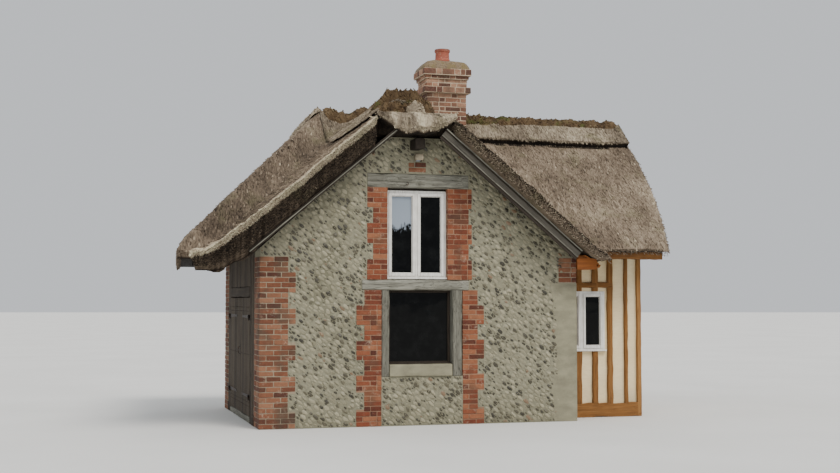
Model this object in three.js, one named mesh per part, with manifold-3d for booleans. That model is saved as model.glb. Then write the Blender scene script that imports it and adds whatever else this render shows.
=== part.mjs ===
// Thatched cottage: flint front gable, half-timbered wing, boarded side wall with a pair of
// plank doors, thatched roof (hipped at the left, gabled at the right) and a brick chimney.
// Millimetres, +Z up. X runs along the front, Y runs from the front to the back.
// Lengths below are set out from the front gable: X = 0 under its peak, Y = 0 on its face,
// Z = 0 at the ground. MIDDLE then moves the origin to the middle of the ground floor.

import * as THREE from 'three';
import { mergeVertices } from 'three/addons/utils/BufferGeometryUtils.js';
import Module from 'manifold-3d';

const wasm = await Module();
wasm.setup();

// Fit between touching pieces
const GAP = 0.3;

// Plan of the walls
const LEFT = -2310;
const RIGHT = 3910;
const BACK = 3900;
const GABLE_RIGHT = 2580;
const FLINT = 500;
const REAR_FLINT = 450;
const WING_FACE = 500;
const TIMBER_WALL = 160;
const FRAME_FACE = 40;
const BOARDED_WALL = 100;
const WING_START = 2400;

// Middle of the ground floor in plan: the whole cottage is set round it
const MIDDLE = [800, 1950];

// Floors
const FLOOR_TOP = 120;
const UPPER_FLOOR = [2000, 2150];

// Main roof: thatch surface at the ridge, fall per unit run, thickness measured upright
const RIDGE_Y = 2200;
const RIDGE_Z = 4810;
const MAIN_FALL = 0.893;
const MAIN_THICK = 450;
const RIDGE_LEFT_END = -1050;
const EAVE_FRONT_RIGHT = -170;
const EAVE_FRONT_LEFT = -370;
const EAVE_REAR = 4753;
const VERGE_RIDGE = 4350;
const VERGE_BELLY = 4500;
const VERGE_FOOT = 4050;
const VERGE_FOOT_REAR = 3850;
const EAVE_LIP = 90;
const TIP_ROUND = 40;

// Left hip: turned a little in plan, because the left eave tapers towards the back
const HIP_TURN = THREE.MathUtils.degToRad(-5.1);
const HIP_FALL = 1.031;
const HIP_THICK = 490;
const HIP_RUN = 2211;

// Front gable roof: thatch surface and soffit as height at X = 0 and fall per unit run
const GABLE_RIDGE_X = -95;
const GABLE_TOP = 4910;
const GABLE_LEFT = { top: 5120, fall: 0.847, soffit: 4680, soffitFall: 0.9, tip: -3320 };
const GABLE_RIGHT_SIDE = { top: 4960, fall: 0.831, soffit: 4680, soffitFall: 0.824, tip: 3060 };
const RAKE_FACE = -420;
const GABLE_CUT = 4270;
const PEAK_HALF = 255;
const KNEE = 0.38;

// Thatched hood over the top of the gable
const HOOD_HALF = 620;
const HOOD_LIP = -500;
const HOOD_BACK = 300;
const HOOD_CORNER = -260;
const LIP_UNDER = [[-HOOD_HALF, 4450], [-350, 4310], [0, GABLE_CUT], [350, 4310], [HOOD_HALF, 4425]];
const HOOD_RISE = [[HOOD_LIP, 4500], [HOOD_LIP + 60, 4580], [HOOD_BACK, 4930]];

// Timbers of the gable's roof
const RIDGE_BEAM = { x: [-75, 75], y: [-300, FLINT - 100], z: [4080, 4230] };
const RAFTER = { deep: 130, y: [-350, -270], footLeft: -2640, footRight: 2700 };

// Ridge roll of thatch laid over the ridges
const ROLL_THICK = 120;
const ROLL_SKIRT = 420;
const ROLL_SPLIT = -430;
const ROLL_FLAP = 1560;

// Chimney
const STACK = { x: [700, 1370], y: [1750, 2250], top: 5270 };
const STRING_OUT = 60;
const NECK = { out: 10, top: 240 };
const CORBELS = [[35, 230, 300], [70, 290, 400]];
const BEVEL = { reach: 60, height: 150, top: 0.45 };
const POT_RADIUS = 120;
const POT_WALL = 25;

// Openings of the front gable
const UPPER_WINDOW = { x: [-420, 510], z: [2170, 3520] };
const LOWER_WINDOW = { x: [-390, 580], z: [900, 2000] };
const LINTEL = { x: [-730, 840], z: [3520, 3730] };
const BEAM = { x: [-810, 840], z: [2000, 2150] };
const POST_LEFT = [-510, -390];
const POST_RIGHT = [580, 745];
const SILL = [720, 900];
const TOOTH_BAND = 260;

// Windows of the other walls
const WING_WINDOW = { x: [2620, 3290], z: [1050, 1990] };
const REAR_WINDOW = { x: [-1150, -150], z: [950, 1950] };
const END_WINDOW = { y: [1750, 2650], z: [950, 1950] };

// Window frames: depth, rebate behind the bars, glass, width of each frame and place of its bar
const FRAME = { depth: 70, rebate: 30, glass: 12, lap: 12 };
const UPPER_FRAME = { set: 80, width: 55, bars: [[15, 75]] };
const LOWER_FRAME = { set: 110, width: 30, bars: [] };
const WING_PANE = { set: 25, width: 50, bars: [[2865, 2930]] };
const REAR_PANE = { set: 110, width: 55, bars: [[-680, -620]] };
const END_PANE = { set: 25, width: 55, bars: [[2170, 2230]] };

// Half-timbering: height ranges of the rails, centres of the studs
const STUD = 90;
const RAILS = { sill: [0, 220], middle: [2050, 2130], wingPlate: [2600, 2900], collar: [2900, 3000] };
const WING_STUDS = [3117, 3377, 3650];
const WING_FIRST_STUD = [2800, 2890];
const END_STUDS = [1000, 1400, 1780, 2200, 2620, 3000];
const CORNER_POST = 110;

// Pair of doors in the left side wall
const DOORWAY = { y: [950, 3150], z: [100, 1900] };
const LEAF_THICK = 40;
const LEAF_CLEAR = 8;
const LEAF_PROUD = 6;
const HINGE_OUT = 26;
const HINGE_IN = 12;
const PIN_RADIUS = 8;
const STRAP_HEIGHTS = [400, 1600];
const STRAP = { length: 820, height: 50, thick: 6 };
const EYE_RADIUS = 15;
const LEDGE = { half: 60, from: 180, short: 20 };
const BOARD_SET = 25;
const DOOR_POST = 160;
const HOOK = { plate: 45, low: -62, high: -26, arm: 14, armLow: -54, armHigh: -34, pinTop: 30 };

// Solids from three.js geometry
function solidOf(geometry) {
  const plain = geometry.index ? geometry.clone() : geometry;
  plain.deleteAttribute('normal');
  plain.deleteAttribute('uv');
  const merged = mergeVertices(plain, 1e-3);
  return new wasm.Manifold(new wasm.Mesh({
    numProp: 3,
    vertProperties: new Float32Array(merged.attributes.position.array),
    triVerts: new Uint32Array(merged.index.array),
  }));
}

function geometryOf(solid) {
  const mesh = solid.getMesh();
  const geometry = new THREE.BufferGeometry();
  geometry.setAttribute('position', new THREE.BufferAttribute(mesh.vertProperties, mesh.numProp));
  geometry.setIndex(new THREE.BufferAttribute(mesh.triVerts, 1));
  geometry.computeVertexNormals();
  return geometry;
}

function block([x0, x1], [y0, y1], [z0, z1], grow = 0) {
  const size = [x1 - x0 + 2 * grow, y1 - y0 + 2 * grow, z1 - z0 + 2 * grow];
  const box = new THREE.BoxGeometry(...size);
  box.translate((x0 + x1) / 2, (y0 + y1) / 2, (z0 + z1) / 2);
  return solidOf(box);
}

function extruded(points, depth) {
  const shape = points instanceof THREE.Shape
    ? points
    : new THREE.Shape(points.map(([a, b]) => new THREE.Vector2(a, b)));
  return new THREE.ExtrudeGeometry(shape, { depth, bevelEnabled: false, curveSegments: 8 });
}

// Outline in X and Z, running from y0 to y1
function alongY(points, [y0, y1]) {
  const body = extruded(points, y1 - y0);
  body.rotateX(Math.PI / 2);
  body.translate(0, y1, 0);
  return solidOf(body);
}

// Outline in Y and Z, running from x0 to x1
function alongX(points, [x0, x1]) {
  const body = extruded(points, x1 - x0);
  body.rotateX(Math.PI / 2);
  body.rotateZ(Math.PI / 2);
  body.translate(x0, 0, 0);
  return solidOf(body);
}

// Outline in X and Y, running from z0 to z1
function alongZ(points, [z0, z1]) {
  const body = extruded(points, z1 - z0);
  body.translate(0, 0, z0);
  return solidOf(body);
}

function join(solids) {
  return solids.reduce((whole, piece) => whole.add(piece));
}

function without(solid, cutters) {
  return cutters.reduce((rest, cutter) => rest.subtract(cutter), solid);
}

// Everything to the left of the line from p to q in plan, drawn back by the given gap
const FAR = 12000;
function leftOf([px, py], [qx, qy], gap) {
  const length = Math.hypot(qx - px, qy - py);
  const along = [(qx - px) / length, (qy - py) / length];
  const left = [-along[1], along[0]];
  const middle = [(px + qx) / 2, (py + qy) / 2];
  const point = (a, l) => middle.map((m, i) => m + along[i] * a + left[i] * l);
  const corners = [point(-FAR, gap), point(FAR, gap), point(FAR, FAR), point(-FAR, FAR)];
  return alongZ(corners, [-100, 9000]);
}

function inFrontOf(y, gap) {
  return block([-FAR, FAR], [-FAR, y - gap], [-100, 9000]);
}

// Section of one thatched slope: s runs out from the ridge, the eave tip is cut level below
function slopeSection({ top, fall, thick, run }) {
  const tip = top - fall * run;
  const under = tip - EAVE_LIP;
  const inner = (top - thick - under) / fall;
  return [
    [0, top],
    [run - TIP_ROUND, tip + fall * TIP_ROUND],
    [run, tip - 0.3 * EAVE_LIP],
    [run - TIP_ROUND, under],
    [inner, under],
    [0, top - thick],
  ];
}

// Section of one slope of the front gable, in X and Z
function gableSection(side, sign) {
  const height = (x) => side.top - side.fall * sign * x;
  const soffit = (x) => side.soffit - side.soffitFall * sign * x;
  const shoulder = GABLE_RIDGE_X + sign * PEAK_HALF;
  const foot = sign < 0 ? LEFT : GABLE_RIGHT;
  const tip = side.tip;
  const under = height(tip) - EAVE_LIP / 2;
  const knee = tip - sign * KNEE * Math.abs(tip - foot);
  return [
    [GABLE_RIDGE_X, GABLE_TOP],
    [shoulder, height(shoulder)],
    [tip, height(tip)],
    [tip - sign * TIP_ROUND, under],
    [knee, under],
    [foot, soffit(foot)],
    [GABLE_RIDGE_X, soffit(GABLE_RIDGE_X)],
  ];
}

// Points in plan where slopes meet: the same height on both planes
function valleyPoint(side, x) {
  const height = side.top - side.fall * Math.abs(x);
  return [x, RIDGE_Y - (RIDGE_Z - height) / MAIN_FALL];
}

const hipSin = Math.sin(-HIP_TURN);
const hipCos = Math.cos(HIP_TURN);
const RIDGE_END = [RIDGE_LEFT_END, RIDGE_Y];

// sign -1 is the hip towards the front, +1 the hip towards the back
function hipPoint(x, sign) {
  const run = x - RIDGE_LEFT_END;
  const across = (HIP_FALL * hipCos) / (HIP_FALL * hipSin - sign * MAIN_FALL);
  return [x, RIDGE_Y + run * across];
}

const VALLEY_LEFT = [valleyPoint(GABLE_LEFT, -3300), valleyPoint(GABLE_LEFT, 0)];
const VALLEY_RIGHT = [valleyPoint(GABLE_RIGHT_SIDE, 0), valleyPoint(GABLE_RIGHT_SIDE, 3000)];
const HIP_FRONT = [hipPoint(-4000, -1), RIDGE_END];
const HIP_REAR = [RIDGE_END, hipPoint(-4000, 1)];

// Plan of the right verge: it swells a little and its lower corners are rounded
function vergePlan() {
  const shape = new THREE.Shape();
  shape.moveTo(-FAR, EAVE_FRONT_LEFT - 600);
  shape.lineTo(VERGE_FOOT, EAVE_FRONT_LEFT - 600);
  shape.lineTo(VERGE_FOOT, EAVE_FRONT_RIGHT);
  shape.quadraticCurveTo(VERGE_BELLY, RIDGE_Y * 0.55, VERGE_RIDGE, RIDGE_Y);
  shape.quadraticCurveTo(VERGE_BELLY, RIDGE_Y * 1.45, VERGE_FOOT, EAVE_REAR - 180);
  shape.lineTo(VERGE_FOOT_REAR, EAVE_REAR + 600);
  shape.lineTo(-FAR, EAVE_REAR + 600);
  return alongZ(shape, [0, 9000]);
}

// The six slopes, each cut upright along its ridge, hips and valleys
function slopes(gap) {
  const ridgeLine = [[-FAR, RIDGE_Y], [FAR, RIDGE_Y]];
  const ahead = leftOf(ridgeLine[1], ridgeLine[0], gap);
  const behind = leftOf(ridgeLine[0], ridgeLine[1], gap);
  const span = [-6000, 6000];
  const front = (eave) => alongX(
    slopeSection({ top: RIDGE_Z, fall: MAIN_FALL, thick: MAIN_THICK, run: RIDGE_Y - eave })
      .map(([s, z]) => [RIDGE_Y - s, z]), span);
  const rear = alongX(
    slopeSection({ top: RIDGE_Z, fall: MAIN_FALL, thick: MAIN_THICK, run: EAVE_REAR - RIDGE_Y })
      .map(([s, z]) => [RIDGE_Y + s, z]), span);
  const hipSolid = extruded(
    slopeSection({ top: RIDGE_Z, fall: HIP_FALL, thick: HIP_THICK, run: HIP_RUN })
      .map(([s, z]) => [-s, z]), 2 * 5000);
  hipSolid.rotateX(Math.PI / 2);
  hipSolid.translate(0, 5000, 0);
  hipSolid.rotateZ(HIP_TURN);
  hipSolid.translate(RIDGE_LEFT_END, RIDGE_Y, 0);
  const gableRun = [RAKE_FACE, RIDGE_Y];
  const gableLeft = alongY(gableSection(GABLE_LEFT, -1), gableRun);
  const gableRight = alongY(gableSection(GABLE_RIGHT_SIDE, 1), gableRun);
  const verge = vergePlan();
  const ridgeMid = [[GABLE_RIDGE_X, -FAR], [GABLE_RIDGE_X, FAR]];
  const lessThanRidge = leftOf(ridgeMid[0], ridgeMid[1], gap);
  const moreThanRidge = leftOf(ridgeMid[1], ridgeMid[0], gap);
  return {
    thatch_front: front(EAVE_FRONT_RIGHT).intersect(ahead).intersect(verge)
      .intersect(leftOf(VALLEY_RIGHT[0], VALLEY_RIGHT[1], gap)).intersect(moreThanRidge),
    thatch_front_left: front(EAVE_FRONT_LEFT).intersect(ahead)
      .intersect(leftOf(VALLEY_LEFT[0], VALLEY_LEFT[1], gap))
      .intersect(leftOf(HIP_FRONT[1], HIP_FRONT[0], gap)),
    thatch_left_hip: solidOf(hipSolid)
      .intersect(leftOf(HIP_FRONT[0], HIP_FRONT[1], gap))
      .intersect(leftOf(HIP_REAR[0], HIP_REAR[1], gap)),
    thatch_rear: rear.intersect(behind).intersect(verge)
      .intersect(leftOf(HIP_REAR[1], HIP_REAR[0], gap)),
    thatch_gable_left: gableLeft.intersect(lessThanRidge).intersect(ahead)
      .intersect(leftOf(VALLEY_LEFT[1], VALLEY_LEFT[0], gap).add(inFrontOf(EAVE_FRONT_LEFT, gap))),
    thatch_gable_right: gableRight.intersect(moreThanRidge).intersect(ahead)
      .intersect(leftOf(VALLEY_RIGHT[1], VALLEY_RIGHT[0], gap)
        .add(inFrontOf(EAVE_FRONT_RIGHT, gap))),
  };
}

const stackHole = block(STACK.x, STACK.y, [-10, 7000], GAP);

// Hood: a small half-hip whose lip curves over the wall top
function hoodOutline(underside) {
  const right = GABLE_RIGHT_SIDE.top - GABLE_RIGHT_SIDE.fall * HOOD_HALF;
  const left = GABLE_LEFT.top - GABLE_LEFT.fall * HOOD_HALF;
  return [
    ...underside,
    [HOOD_HALF, right],
    [160, GABLE_TOP - 83],
    [GABLE_RIDGE_X, GABLE_TOP],
    [-350, GABLE_TOP - 87],
    [-HOOD_HALF, left],
  ];
}

function hood() {
  const seatUnder = [[-HOOD_HALF, GABLE_CUT + GAP], [HOOD_HALF, GABLE_CUT + GAP]];
  const lip = alongY(hoodOutline(LIP_UNDER), [HOOD_LIP, 0]);
  const seat = alongY(hoodOutline(seatUnder), [-20, HOOD_BACK]);
  const under = 4000;
  const hipPlane = alongX([[HOOD_LIP, under], ...HOOD_RISE, [HOOD_BACK, under]], [-1000, 1000]);
  const plan = new THREE.Shape();
  plan.moveTo(-HOOD_HALF, HOOD_BACK);
  plan.lineTo(-HOOD_HALF, HOOD_CORNER);
  plan.quadraticCurveTo(-HOOD_HALF * 0.8, HOOD_LIP, 0, HOOD_LIP);
  plan.quadraticCurveTo(HOOD_HALF * 0.8, HOOD_LIP, HOOD_HALF, HOOD_CORNER);
  plan.lineTo(HOOD_HALF, HOOD_BACK);
  return lip.add(seat).intersect(hipPlane).intersect(alongZ(plan, [under, 6000]));
}

const hoodSpace = block(
  [-HOOD_HALF - GAP, HOOD_HALF + GAP], [HOOD_LIP - 100, HOOD_BACK + GAP], [GABLE_CUT, 6000]);

function thatch() {
  const pieces = slopes(GAP / 2);
  pieces.thatch_gable_left = pieces.thatch_gable_left.subtract(hoodSpace);
  pieces.thatch_gable_right = pieces.thatch_gable_right.subtract(hoodSpace);
  pieces.thatch_front = pieces.thatch_front.subtract(stackHole);
  pieces.thatch_rear = pieces.thatch_rear.subtract(stackHole);
  pieces.thatch_hood = hood();
  return pieces;
}

// Thatch rolls over the ridges: the skin between the roof and the same roof raised
function ridgeRolls() {
  const roof = join(Object.values(slopes(-1)));
  const skin = roof.translate([0, 0, ROLL_THICK]).subtract(roof.translate([0, 0, GAP]));
  const back = RIDGE_Y + ROLL_SKIRT;
  const over = [4000, 6000];
  const right = alongZ([
    [STACK.x[1] + GAP, RIDGE_Y - ROLL_SKIRT],
    [VERGE_RIDGE - 20, RIDGE_Y - ROLL_SKIRT],
    [VERGE_RIDGE - 20, back],
    [STACK.x[1] + GAP, back],
  ], over);
  const left = alongZ([
    [RIDGE_LEFT_END, back],
    [RIDGE_LEFT_END, RIDGE_Y - 60],
    [RIDGE_LEFT_END + 170, ROLL_FLAP],
    [ROLL_SPLIT, ROLL_FLAP],
    [ROLL_SPLIT, back],
  ], over);
  const gable = alongZ([
    [ROLL_SPLIT + GAP, HOOD_BACK + GAP],
    [STACK.x[0] - 400, HOOD_BACK + GAP],
    [STACK.x[0] - GAP, RIDGE_Y - ROLL_SKIRT],
    [STACK.x[0] - GAP, back],
    [ROLL_SPLIT + GAP, back],
  ], over);
  return {
    ridge_roll_right: skin.intersect(right),
    ridge_roll_left: skin.intersect(left),
    ridge_roll_gable: skin.intersect(gable),
  };
}

// The space under the soffits, which every wall is trimmed to
function underRoof() {
  const top = RIDGE_Z - MAIN_THICK - GAP;
  const reach = 5000;
  const main = alongX([
    [RIDGE_Y - reach, -500],
    [RIDGE_Y + reach, -500],
    [RIDGE_Y + reach, top - MAIN_FALL * reach],
    [RIDGE_Y, top],
    [RIDGE_Y - reach, top - MAIN_FALL * reach],
  ], [-6000, 6000]);
  const hipTop = RIDGE_Z - HIP_THICK - 2 * GAP;
  const hip = extruded([
    [-4000, -500],
    [8000, -500],
    [8000, 9000],
    [(9000 - hipTop) / HIP_FALL, 9000],
    [-4000, hipTop - HIP_FALL * 4000],
  ], 2 * reach);
  hip.rotateX(Math.PI / 2);
  hip.translate(0, reach, 0);
  hip.rotateZ(HIP_TURN);
  hip.translate(RIDGE_LEFT_END, RIDGE_Y, 0);
  const gable = alongY([
    [LEFT - 10, -100],
    [GABLE_RIGHT + 10, -100],
    [GABLE_RIGHT + 10, soffitAt(GABLE_RIGHT_SIDE, GABLE_RIGHT + 10)],
    [0, GABLE_LEFT.soffit - GAP],
    [LEFT - 10, soffitAt(GABLE_LEFT, LEFT - 10)],
  ], [-10, RIDGE_Y]);
  return main.intersect(solidOf(hip)).add(gable);
}

function soffitAt(side, x) {
  return side.soffit - GAP - side.soffitFall * Math.abs(x);
}

// Brick dressings: a straight face against the opening, a toothed edge into the flint
function toothed(face, short, long, [z0, z1], grow = 0) {
  const bands = Math.max(1, Math.round((z1 - z0) / TOOTH_BAND));
  const step = (z1 - z0) / bands;
  const y = [0, FLINT - GAP];
  const reach = (edge) => [Math.min(face, edge), Math.max(face, edge)];
  const rows = [block(reach(short), y, [z0, z1], grow)];
  for (let i = 0; i < bands; i += 2) {
    rows.push(block(reach(long), y, [z0 + i * step, z0 + (i + 1) * step], grow));
  }
  return join(rows);
}

const DRESSINGS = {
  brick_jamb_upper_left: (grow) => toothed(
    UPPER_WINDOW.x[0] - GAP, -640, -730, [BEAM.z[1] + GAP, LINTEL.z[0] - GAP], grow),
  brick_jamb_upper_right: (grow) => toothed(
    UPPER_WINDOW.x[1] + GAP, 840, 890, [BEAM.z[1] + GAP, LINTEL.z[0] - GAP], grow),
  brick_jamb_lower_left: (grow) => toothed(
    POST_LEFT[0] - GAP, -770, -890, [0, BEAM.z[0] - GAP], grow),
  brick_jamb_lower_right: (grow) => toothed(
    POST_RIGHT[1] + GAP, 980, 1080, [0, BEAM.z[0] - GAP], grow),
  brick_quoin_left: (grow) => toothed(LEFT, -1900, -1790, [0, 2480], grow),
  brick_quoin_right: (grow) => toothed(GABLE_RIGHT, 2370, 2290, [0, 2500], grow),
  upper_lintel: (grow) => block(LINTEL.x, [0, FLINT - GAP], LINTEL.z, grow),
  floor_beam: (grow) => block(BEAM.x, [0, FLINT - GAP], BEAM.z, grow),
};

// Front gable in flint, in four pieces round its openings
function gableWalls() {
  const outline = [
    [LEFT, 0],
    [GABLE_RIGHT, 0],
    [GABLE_RIGHT, soffitAt(GABLE_RIGHT_SIDE, GABLE_RIGHT)],
    [(GABLE_LEFT.soffit - GAP - GABLE_CUT) / GABLE_RIGHT_SIDE.soffitFall, GABLE_CUT],
    [-(GABLE_LEFT.soffit - GAP - GABLE_CUT) / GABLE_LEFT.soffitFall, GABLE_CUT],
    [LEFT, soffitAt(GABLE_LEFT, LEFT)],
  ];
  const whole = alongY(outline, [0, FLINT - GAP]);
  const depth = [-10, FLINT + 10];
  const cutters = Object.values(DRESSINGS).map((dressing) => dressing(GAP));
  cutters.push(slopes(-GAP / 2).thatch_front.translate([0, 0, -GAP]));
  cutters.push(block(RIDGE_BEAM.x, RIDGE_BEAM.y, RIDGE_BEAM.z, GAP));
  const solid = without(whole, cutters);
  const left = [LEFT - 10, UPPER_WINDOW.x[0] - 10];
  const right = [UPPER_WINDOW.x[1] + 10, GABLE_RIGHT + 10];
  const top = [LINTEL.x, depth, [LINTEL.z[1] - 50, 5000]];
  const below = [[POST_LEFT[0], POST_RIGHT[1]], depth, [-10, SILL[0]]];
  return {
    flint_gable_left: solid.intersect(block(left, depth, [-10, 5000]))
      .subtract(block(...top, GAP)).subtract(block(...below, GAP))
      .subtract(block([POST_LEFT[0], 0], depth, [0, 2000], GAP)),
    flint_gable_right: solid.intersect(block(right, depth, [-10, 5000]))
      .subtract(block(...top, GAP)).subtract(block(...below, GAP))
      .subtract(block([0, POST_RIGHT[1]], depth, [0, 2000], GAP)),
    flint_gable_top: solid.intersect(block(...top)),
    flint_under_window: solid.intersect(block(...below)),
  };
}

function gableTimbers() {
  const y = [0, FLINT - GAP];
  const under = [SILL[0] + GAP, BEAM.z[0] - GAP];
  return {
    window_post_left: block(POST_LEFT, y, under),
    window_post_right: block(POST_RIGHT, y, under),
    lower_window_sill: block(
      [POST_LEFT[1] + GAP, POST_RIGHT[0] - GAP], [-20, FLINT - GAP], [SILL[0] + GAP, SILL[1] - GAP]),
    ridge_beam: block(RIDGE_BEAM.x, RIDGE_BEAM.y, RIDGE_BEAM.z),
  };
}

// Rafters that fly out under the verges of the gable
function flyingRafter(side, sign, foot) {
  const soffit = (x) => soffitAt(side, x);
  const head = sign * ((side.soffit - GABLE_CUT) / side.soffitFall + 20);
  return alongY([
    [head, soffit(head) - RAFTER.deep],
    [foot, soffit(foot) - RAFTER.deep],
    [foot, soffit(foot)],
    [head, soffit(head)],
  ], RAFTER.y);
}

// Window: a frame whose bars stand before one sheet of glass
function windowAlongX({ x, z }, front, { width, bars }) {
  const back = front + FRAME.depth;
  const inX = [x[0] + GAP, x[1] - GAP];
  const inZ = [z[0] + GAP, z[1] - GAP];
  const rebateX = [inX[0] + width - FRAME.lap, inX[1] - width + FRAME.lap];
  const rebateZ = [inZ[0] + width - FRAME.lap, inZ[1] - width + FRAME.lap];
  const edges = [inX[0] + width, ...bars.flat(), inX[1] - width];
  let frame = block(inX, [front, back], inZ)
    .subtract(block(rebateX, [front + FRAME.rebate, back + 10], rebateZ));
  for (let i = 0; i < edges.length; i += 2) {
    frame = frame.subtract(block(
      [edges[i], edges[i + 1]], [front - 10, back], [inZ[0] + width, inZ[1] - width]));
  }
  const glass = block(
    rebateX, [front + FRAME.rebate + 2 * GAP, front + FRAME.rebate + FRAME.glass], rebateZ, -GAP);
  return [frame, glass];
}

// The same window in a wall that runs along Y, seen from +X
function windowAlongY({ y, z }, face, pane) {
  const turn = (solid) => solid.rotate([0, 0, 90]).translate([face, 0, 0]);
  return windowAlongX({ x: y, z }, 0, pane).map(turn);
}

function rearWalls() {
  const y = [BACK - REAR_FLINT + GAP, BACK];
  const hole = REAR_WINDOW;
  const limits = [LEFT, RIGHT];
  const high = [0, 4000];
  return {
    rear_wall_left: block([limits[0], hole.x[0]], y, high),
    rear_wall_right: block([hole.x[1], limits[1]], y, high),
    rear_wall_over_window: block([hole.x[0] + GAP, hole.x[1] - GAP], y, [hole.z[1], high[1]]),
    rear_wall_under_window: block([hole.x[0] + GAP, hole.x[1] - GAP], y, [high[0], hole.z[0]]),
  };
}

// Half-timbered walls: a plastered slab behind a lattice of studs and rails
function wingWall() {
  const y = [WING_FACE + FRAME_FACE + GAP, WING_FACE + TIMBER_WALL];
  const slab = block([WING_START, RIGHT - TIMBER_WALL - GAP], y, [0, 4000])
    .add(block([RIGHT - TIMBER_WALL - 100, RIGHT - FRAME_FACE - GAP], y, [0, 4000]));
  const flat = block([WING_START, GABLE_RIGHT], [WING_FACE, y[1]], [0, 2700]);
  const hole = block(WING_WINDOW.x, [0, 1000], WING_WINDOW.z);
  return slab.add(flat).subtract(hole);
}

function wingFrame() {
  const y = [WING_FACE, WING_FACE + FRAME_FACE];
  const start = GABLE_RIGHT + GAP;
  const tall = [0, RAILS.wingPlate[1]];
  const rail = (z) => block([start, RIGHT], y, z);
  const posts = WING_STUDS.map((c) => block([c - STUD / 2, c + STUD / 2], y, tall));
  const corner = block([RIGHT - CORNER_POST, RIGHT], y, tall);
  const first = block(WING_FIRST_STUD, y, [WING_WINDOW.z[1], tall[1]]);
  const rails = [RAILS.sill, RAILS.middle, RAILS.wingPlate].map(rail);
  const parts = [...rails, corner, first, ...posts];
  return join(parts).subtract(block(WING_WINDOW.x, [0, 1000], WING_WINDOW.z));
}

function endWall() {
  const x = [RIGHT - TIMBER_WALL, RIGHT - FRAME_FACE - GAP];
  const slab = block(x, [WING_FACE + TIMBER_WALL + GAP, BACK - REAR_FLINT], [0, 4400]);
  return slab.subtract(block([x[0] - 10, x[1] + 10], END_WINDOW.y, END_WINDOW.z));
}

function endFrame() {
  const x = [RIGHT - FRAME_FACE, RIGHT];
  const start = WING_FACE + FRAME_FACE + GAP;
  const y = [start, BACK - REAR_FLINT];
  const tall = [0, 4400];
  const posts = END_STUDS.map((c) => block(x, [c - STUD / 2, c + STUD / 2], tall));
  const edge = block(x, [start, start + CORNER_POST], tall);
  const last = block(x, [y[1] - CORNER_POST, y[1]], tall);
  const rails = [RAILS.sill, RAILS.middle, RAILS.collar].map((z) => block(x, y, z));
  const parts = [...rails, edge, last, ...posts];
  return join(parts).subtract(block([x[0] - 10, x[1] + 10], END_WINDOW.y, END_WINDOW.z));
}

// Boarded side wall, left: plain panels with a post beside each door, and hooks for the doors
const HINGE = {
  x: LEFT - HINGE_OUT,
  y: [DOORWAY.y[0] - HINGE_IN, DOORWAY.y[1] + HINGE_IN],
};

function upright(radius, x, y, [z0, z1]) {
  const rod = new THREE.CylinderGeometry(radius, radius, z1 - z0, 16);
  rod.rotateX(Math.PI / 2);
  rod.translate(x, y, (z0 + z1) / 2);
  return solidOf(rod);
}

function sideWalls() {
  const x = [LEFT, LEFT + BOARDED_WALL];
  const tall = [0, 4000];
  const panel = (y, z) => block([LEFT + BOARD_SET, x[1]], y, z);
  const front = block(x, [DOORWAY.y[0] - DOOR_POST, DOORWAY.y[0]], tall)
    .add(panel([FLINT + GAP, DOORWAY.y[0]], tall));
  const rear = block(x, [DOORWAY.y[1], DOORWAY.y[1] + DOOR_POST], tall)
    .add(panel([DOORWAY.y[1], BACK - REAR_FLINT], tall));
  const clear = [DOORWAY.y[0] + GAP, DOORWAY.y[1] - GAP];
  const over = block(x, clear, [DOORWAY.z[1], DOORWAY.z[1] + DOOR_POST])
    .add(panel(clear, [DOORWAY.z[1], tall[1]]));
  return {
    side_wall_front: front,
    side_wall_rear: rear,
    side_wall_over_doors: over,
    door_sill: block(x, clear, [0, DOORWAY.z[0] - LEAF_CLEAR]),
  };
}

function hookSet(y, wallSide) {
  return STRAP_HEIGHTS.map((z) => {
    const beside = wallSide > 0 ? [y, y + HOOK.plate] : [y - HOOK.plate, y];
    const plate = block([LEFT - 4, LEFT + 1], beside, [z + HOOK.low, z + HOOK.high]);
    const across = [y - HOOK.arm / 2, y + HOOK.arm / 2];
    const arm = block([HINGE.x, LEFT + 1], across, [z + HOOK.armLow, z + HOOK.armHigh]);
    const pin = upright(PIN_RADIUS, HINGE.x, y, [z + HOOK.armLow, z + HOOK.pinTop]);
    return plate.add(arm).add(pin);
  });
}

// One ledged leaf with its straps, hinged at y and reaching towards the middle
function doorLeaf(hingeY, sign) {
  const middle = (DOORWAY.y[0] + DOORWAY.y[1]) / 2;
  const order = (a, b) => [Math.min(a, b), Math.max(a, b)];
  const heel = hingeY + sign * (HINGE_IN + LEAF_CLEAR);
  const meeting = middle - sign * LEAF_CLEAR / 2;
  const z = [DOORWAY.z[0], DOORWAY.z[1] - LEAF_CLEAR];
  const y = order(heel, meeting);
  const face = LEFT - LEAF_PROUD;
  const boards = block([face, face + LEAF_THICK * 0.6], y, z);
  const width = order(heel + sign * LEDGE.short, meeting - sign * LEDGE.short);
  const heights = [z[0] + LEDGE.from, (z[0] + z[1]) / 2, z[1] - LEDGE.from];
  const ledges = heights.map((c) => block(
    [face, face + LEAF_THICK], width, [c - LEDGE.half, c + LEDGE.half]));
  const straps = STRAP_HEIGHTS.map((c) => {
    const tall = [c - STRAP.height / 2, c + STRAP.height / 2];
    const bar = block([face - STRAP.thick, face + 1],
      order(hingeY + sign * 10, heel + sign * STRAP.length), tall);
    const root = block([face - STRAP.thick, face], order(hingeY, hingeY + sign * 15), tall);
    const eye = upright(EYE_RADIUS, HINGE.x, hingeY, tall);
    const bore = upright(PIN_RADIUS + GAP, HINGE.x, hingeY, [c - 60, c + 60]);
    return bar.add(root).add(eye).subtract(bore);
  });
  return join([boards, ...ledges, ...straps]);
}

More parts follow.
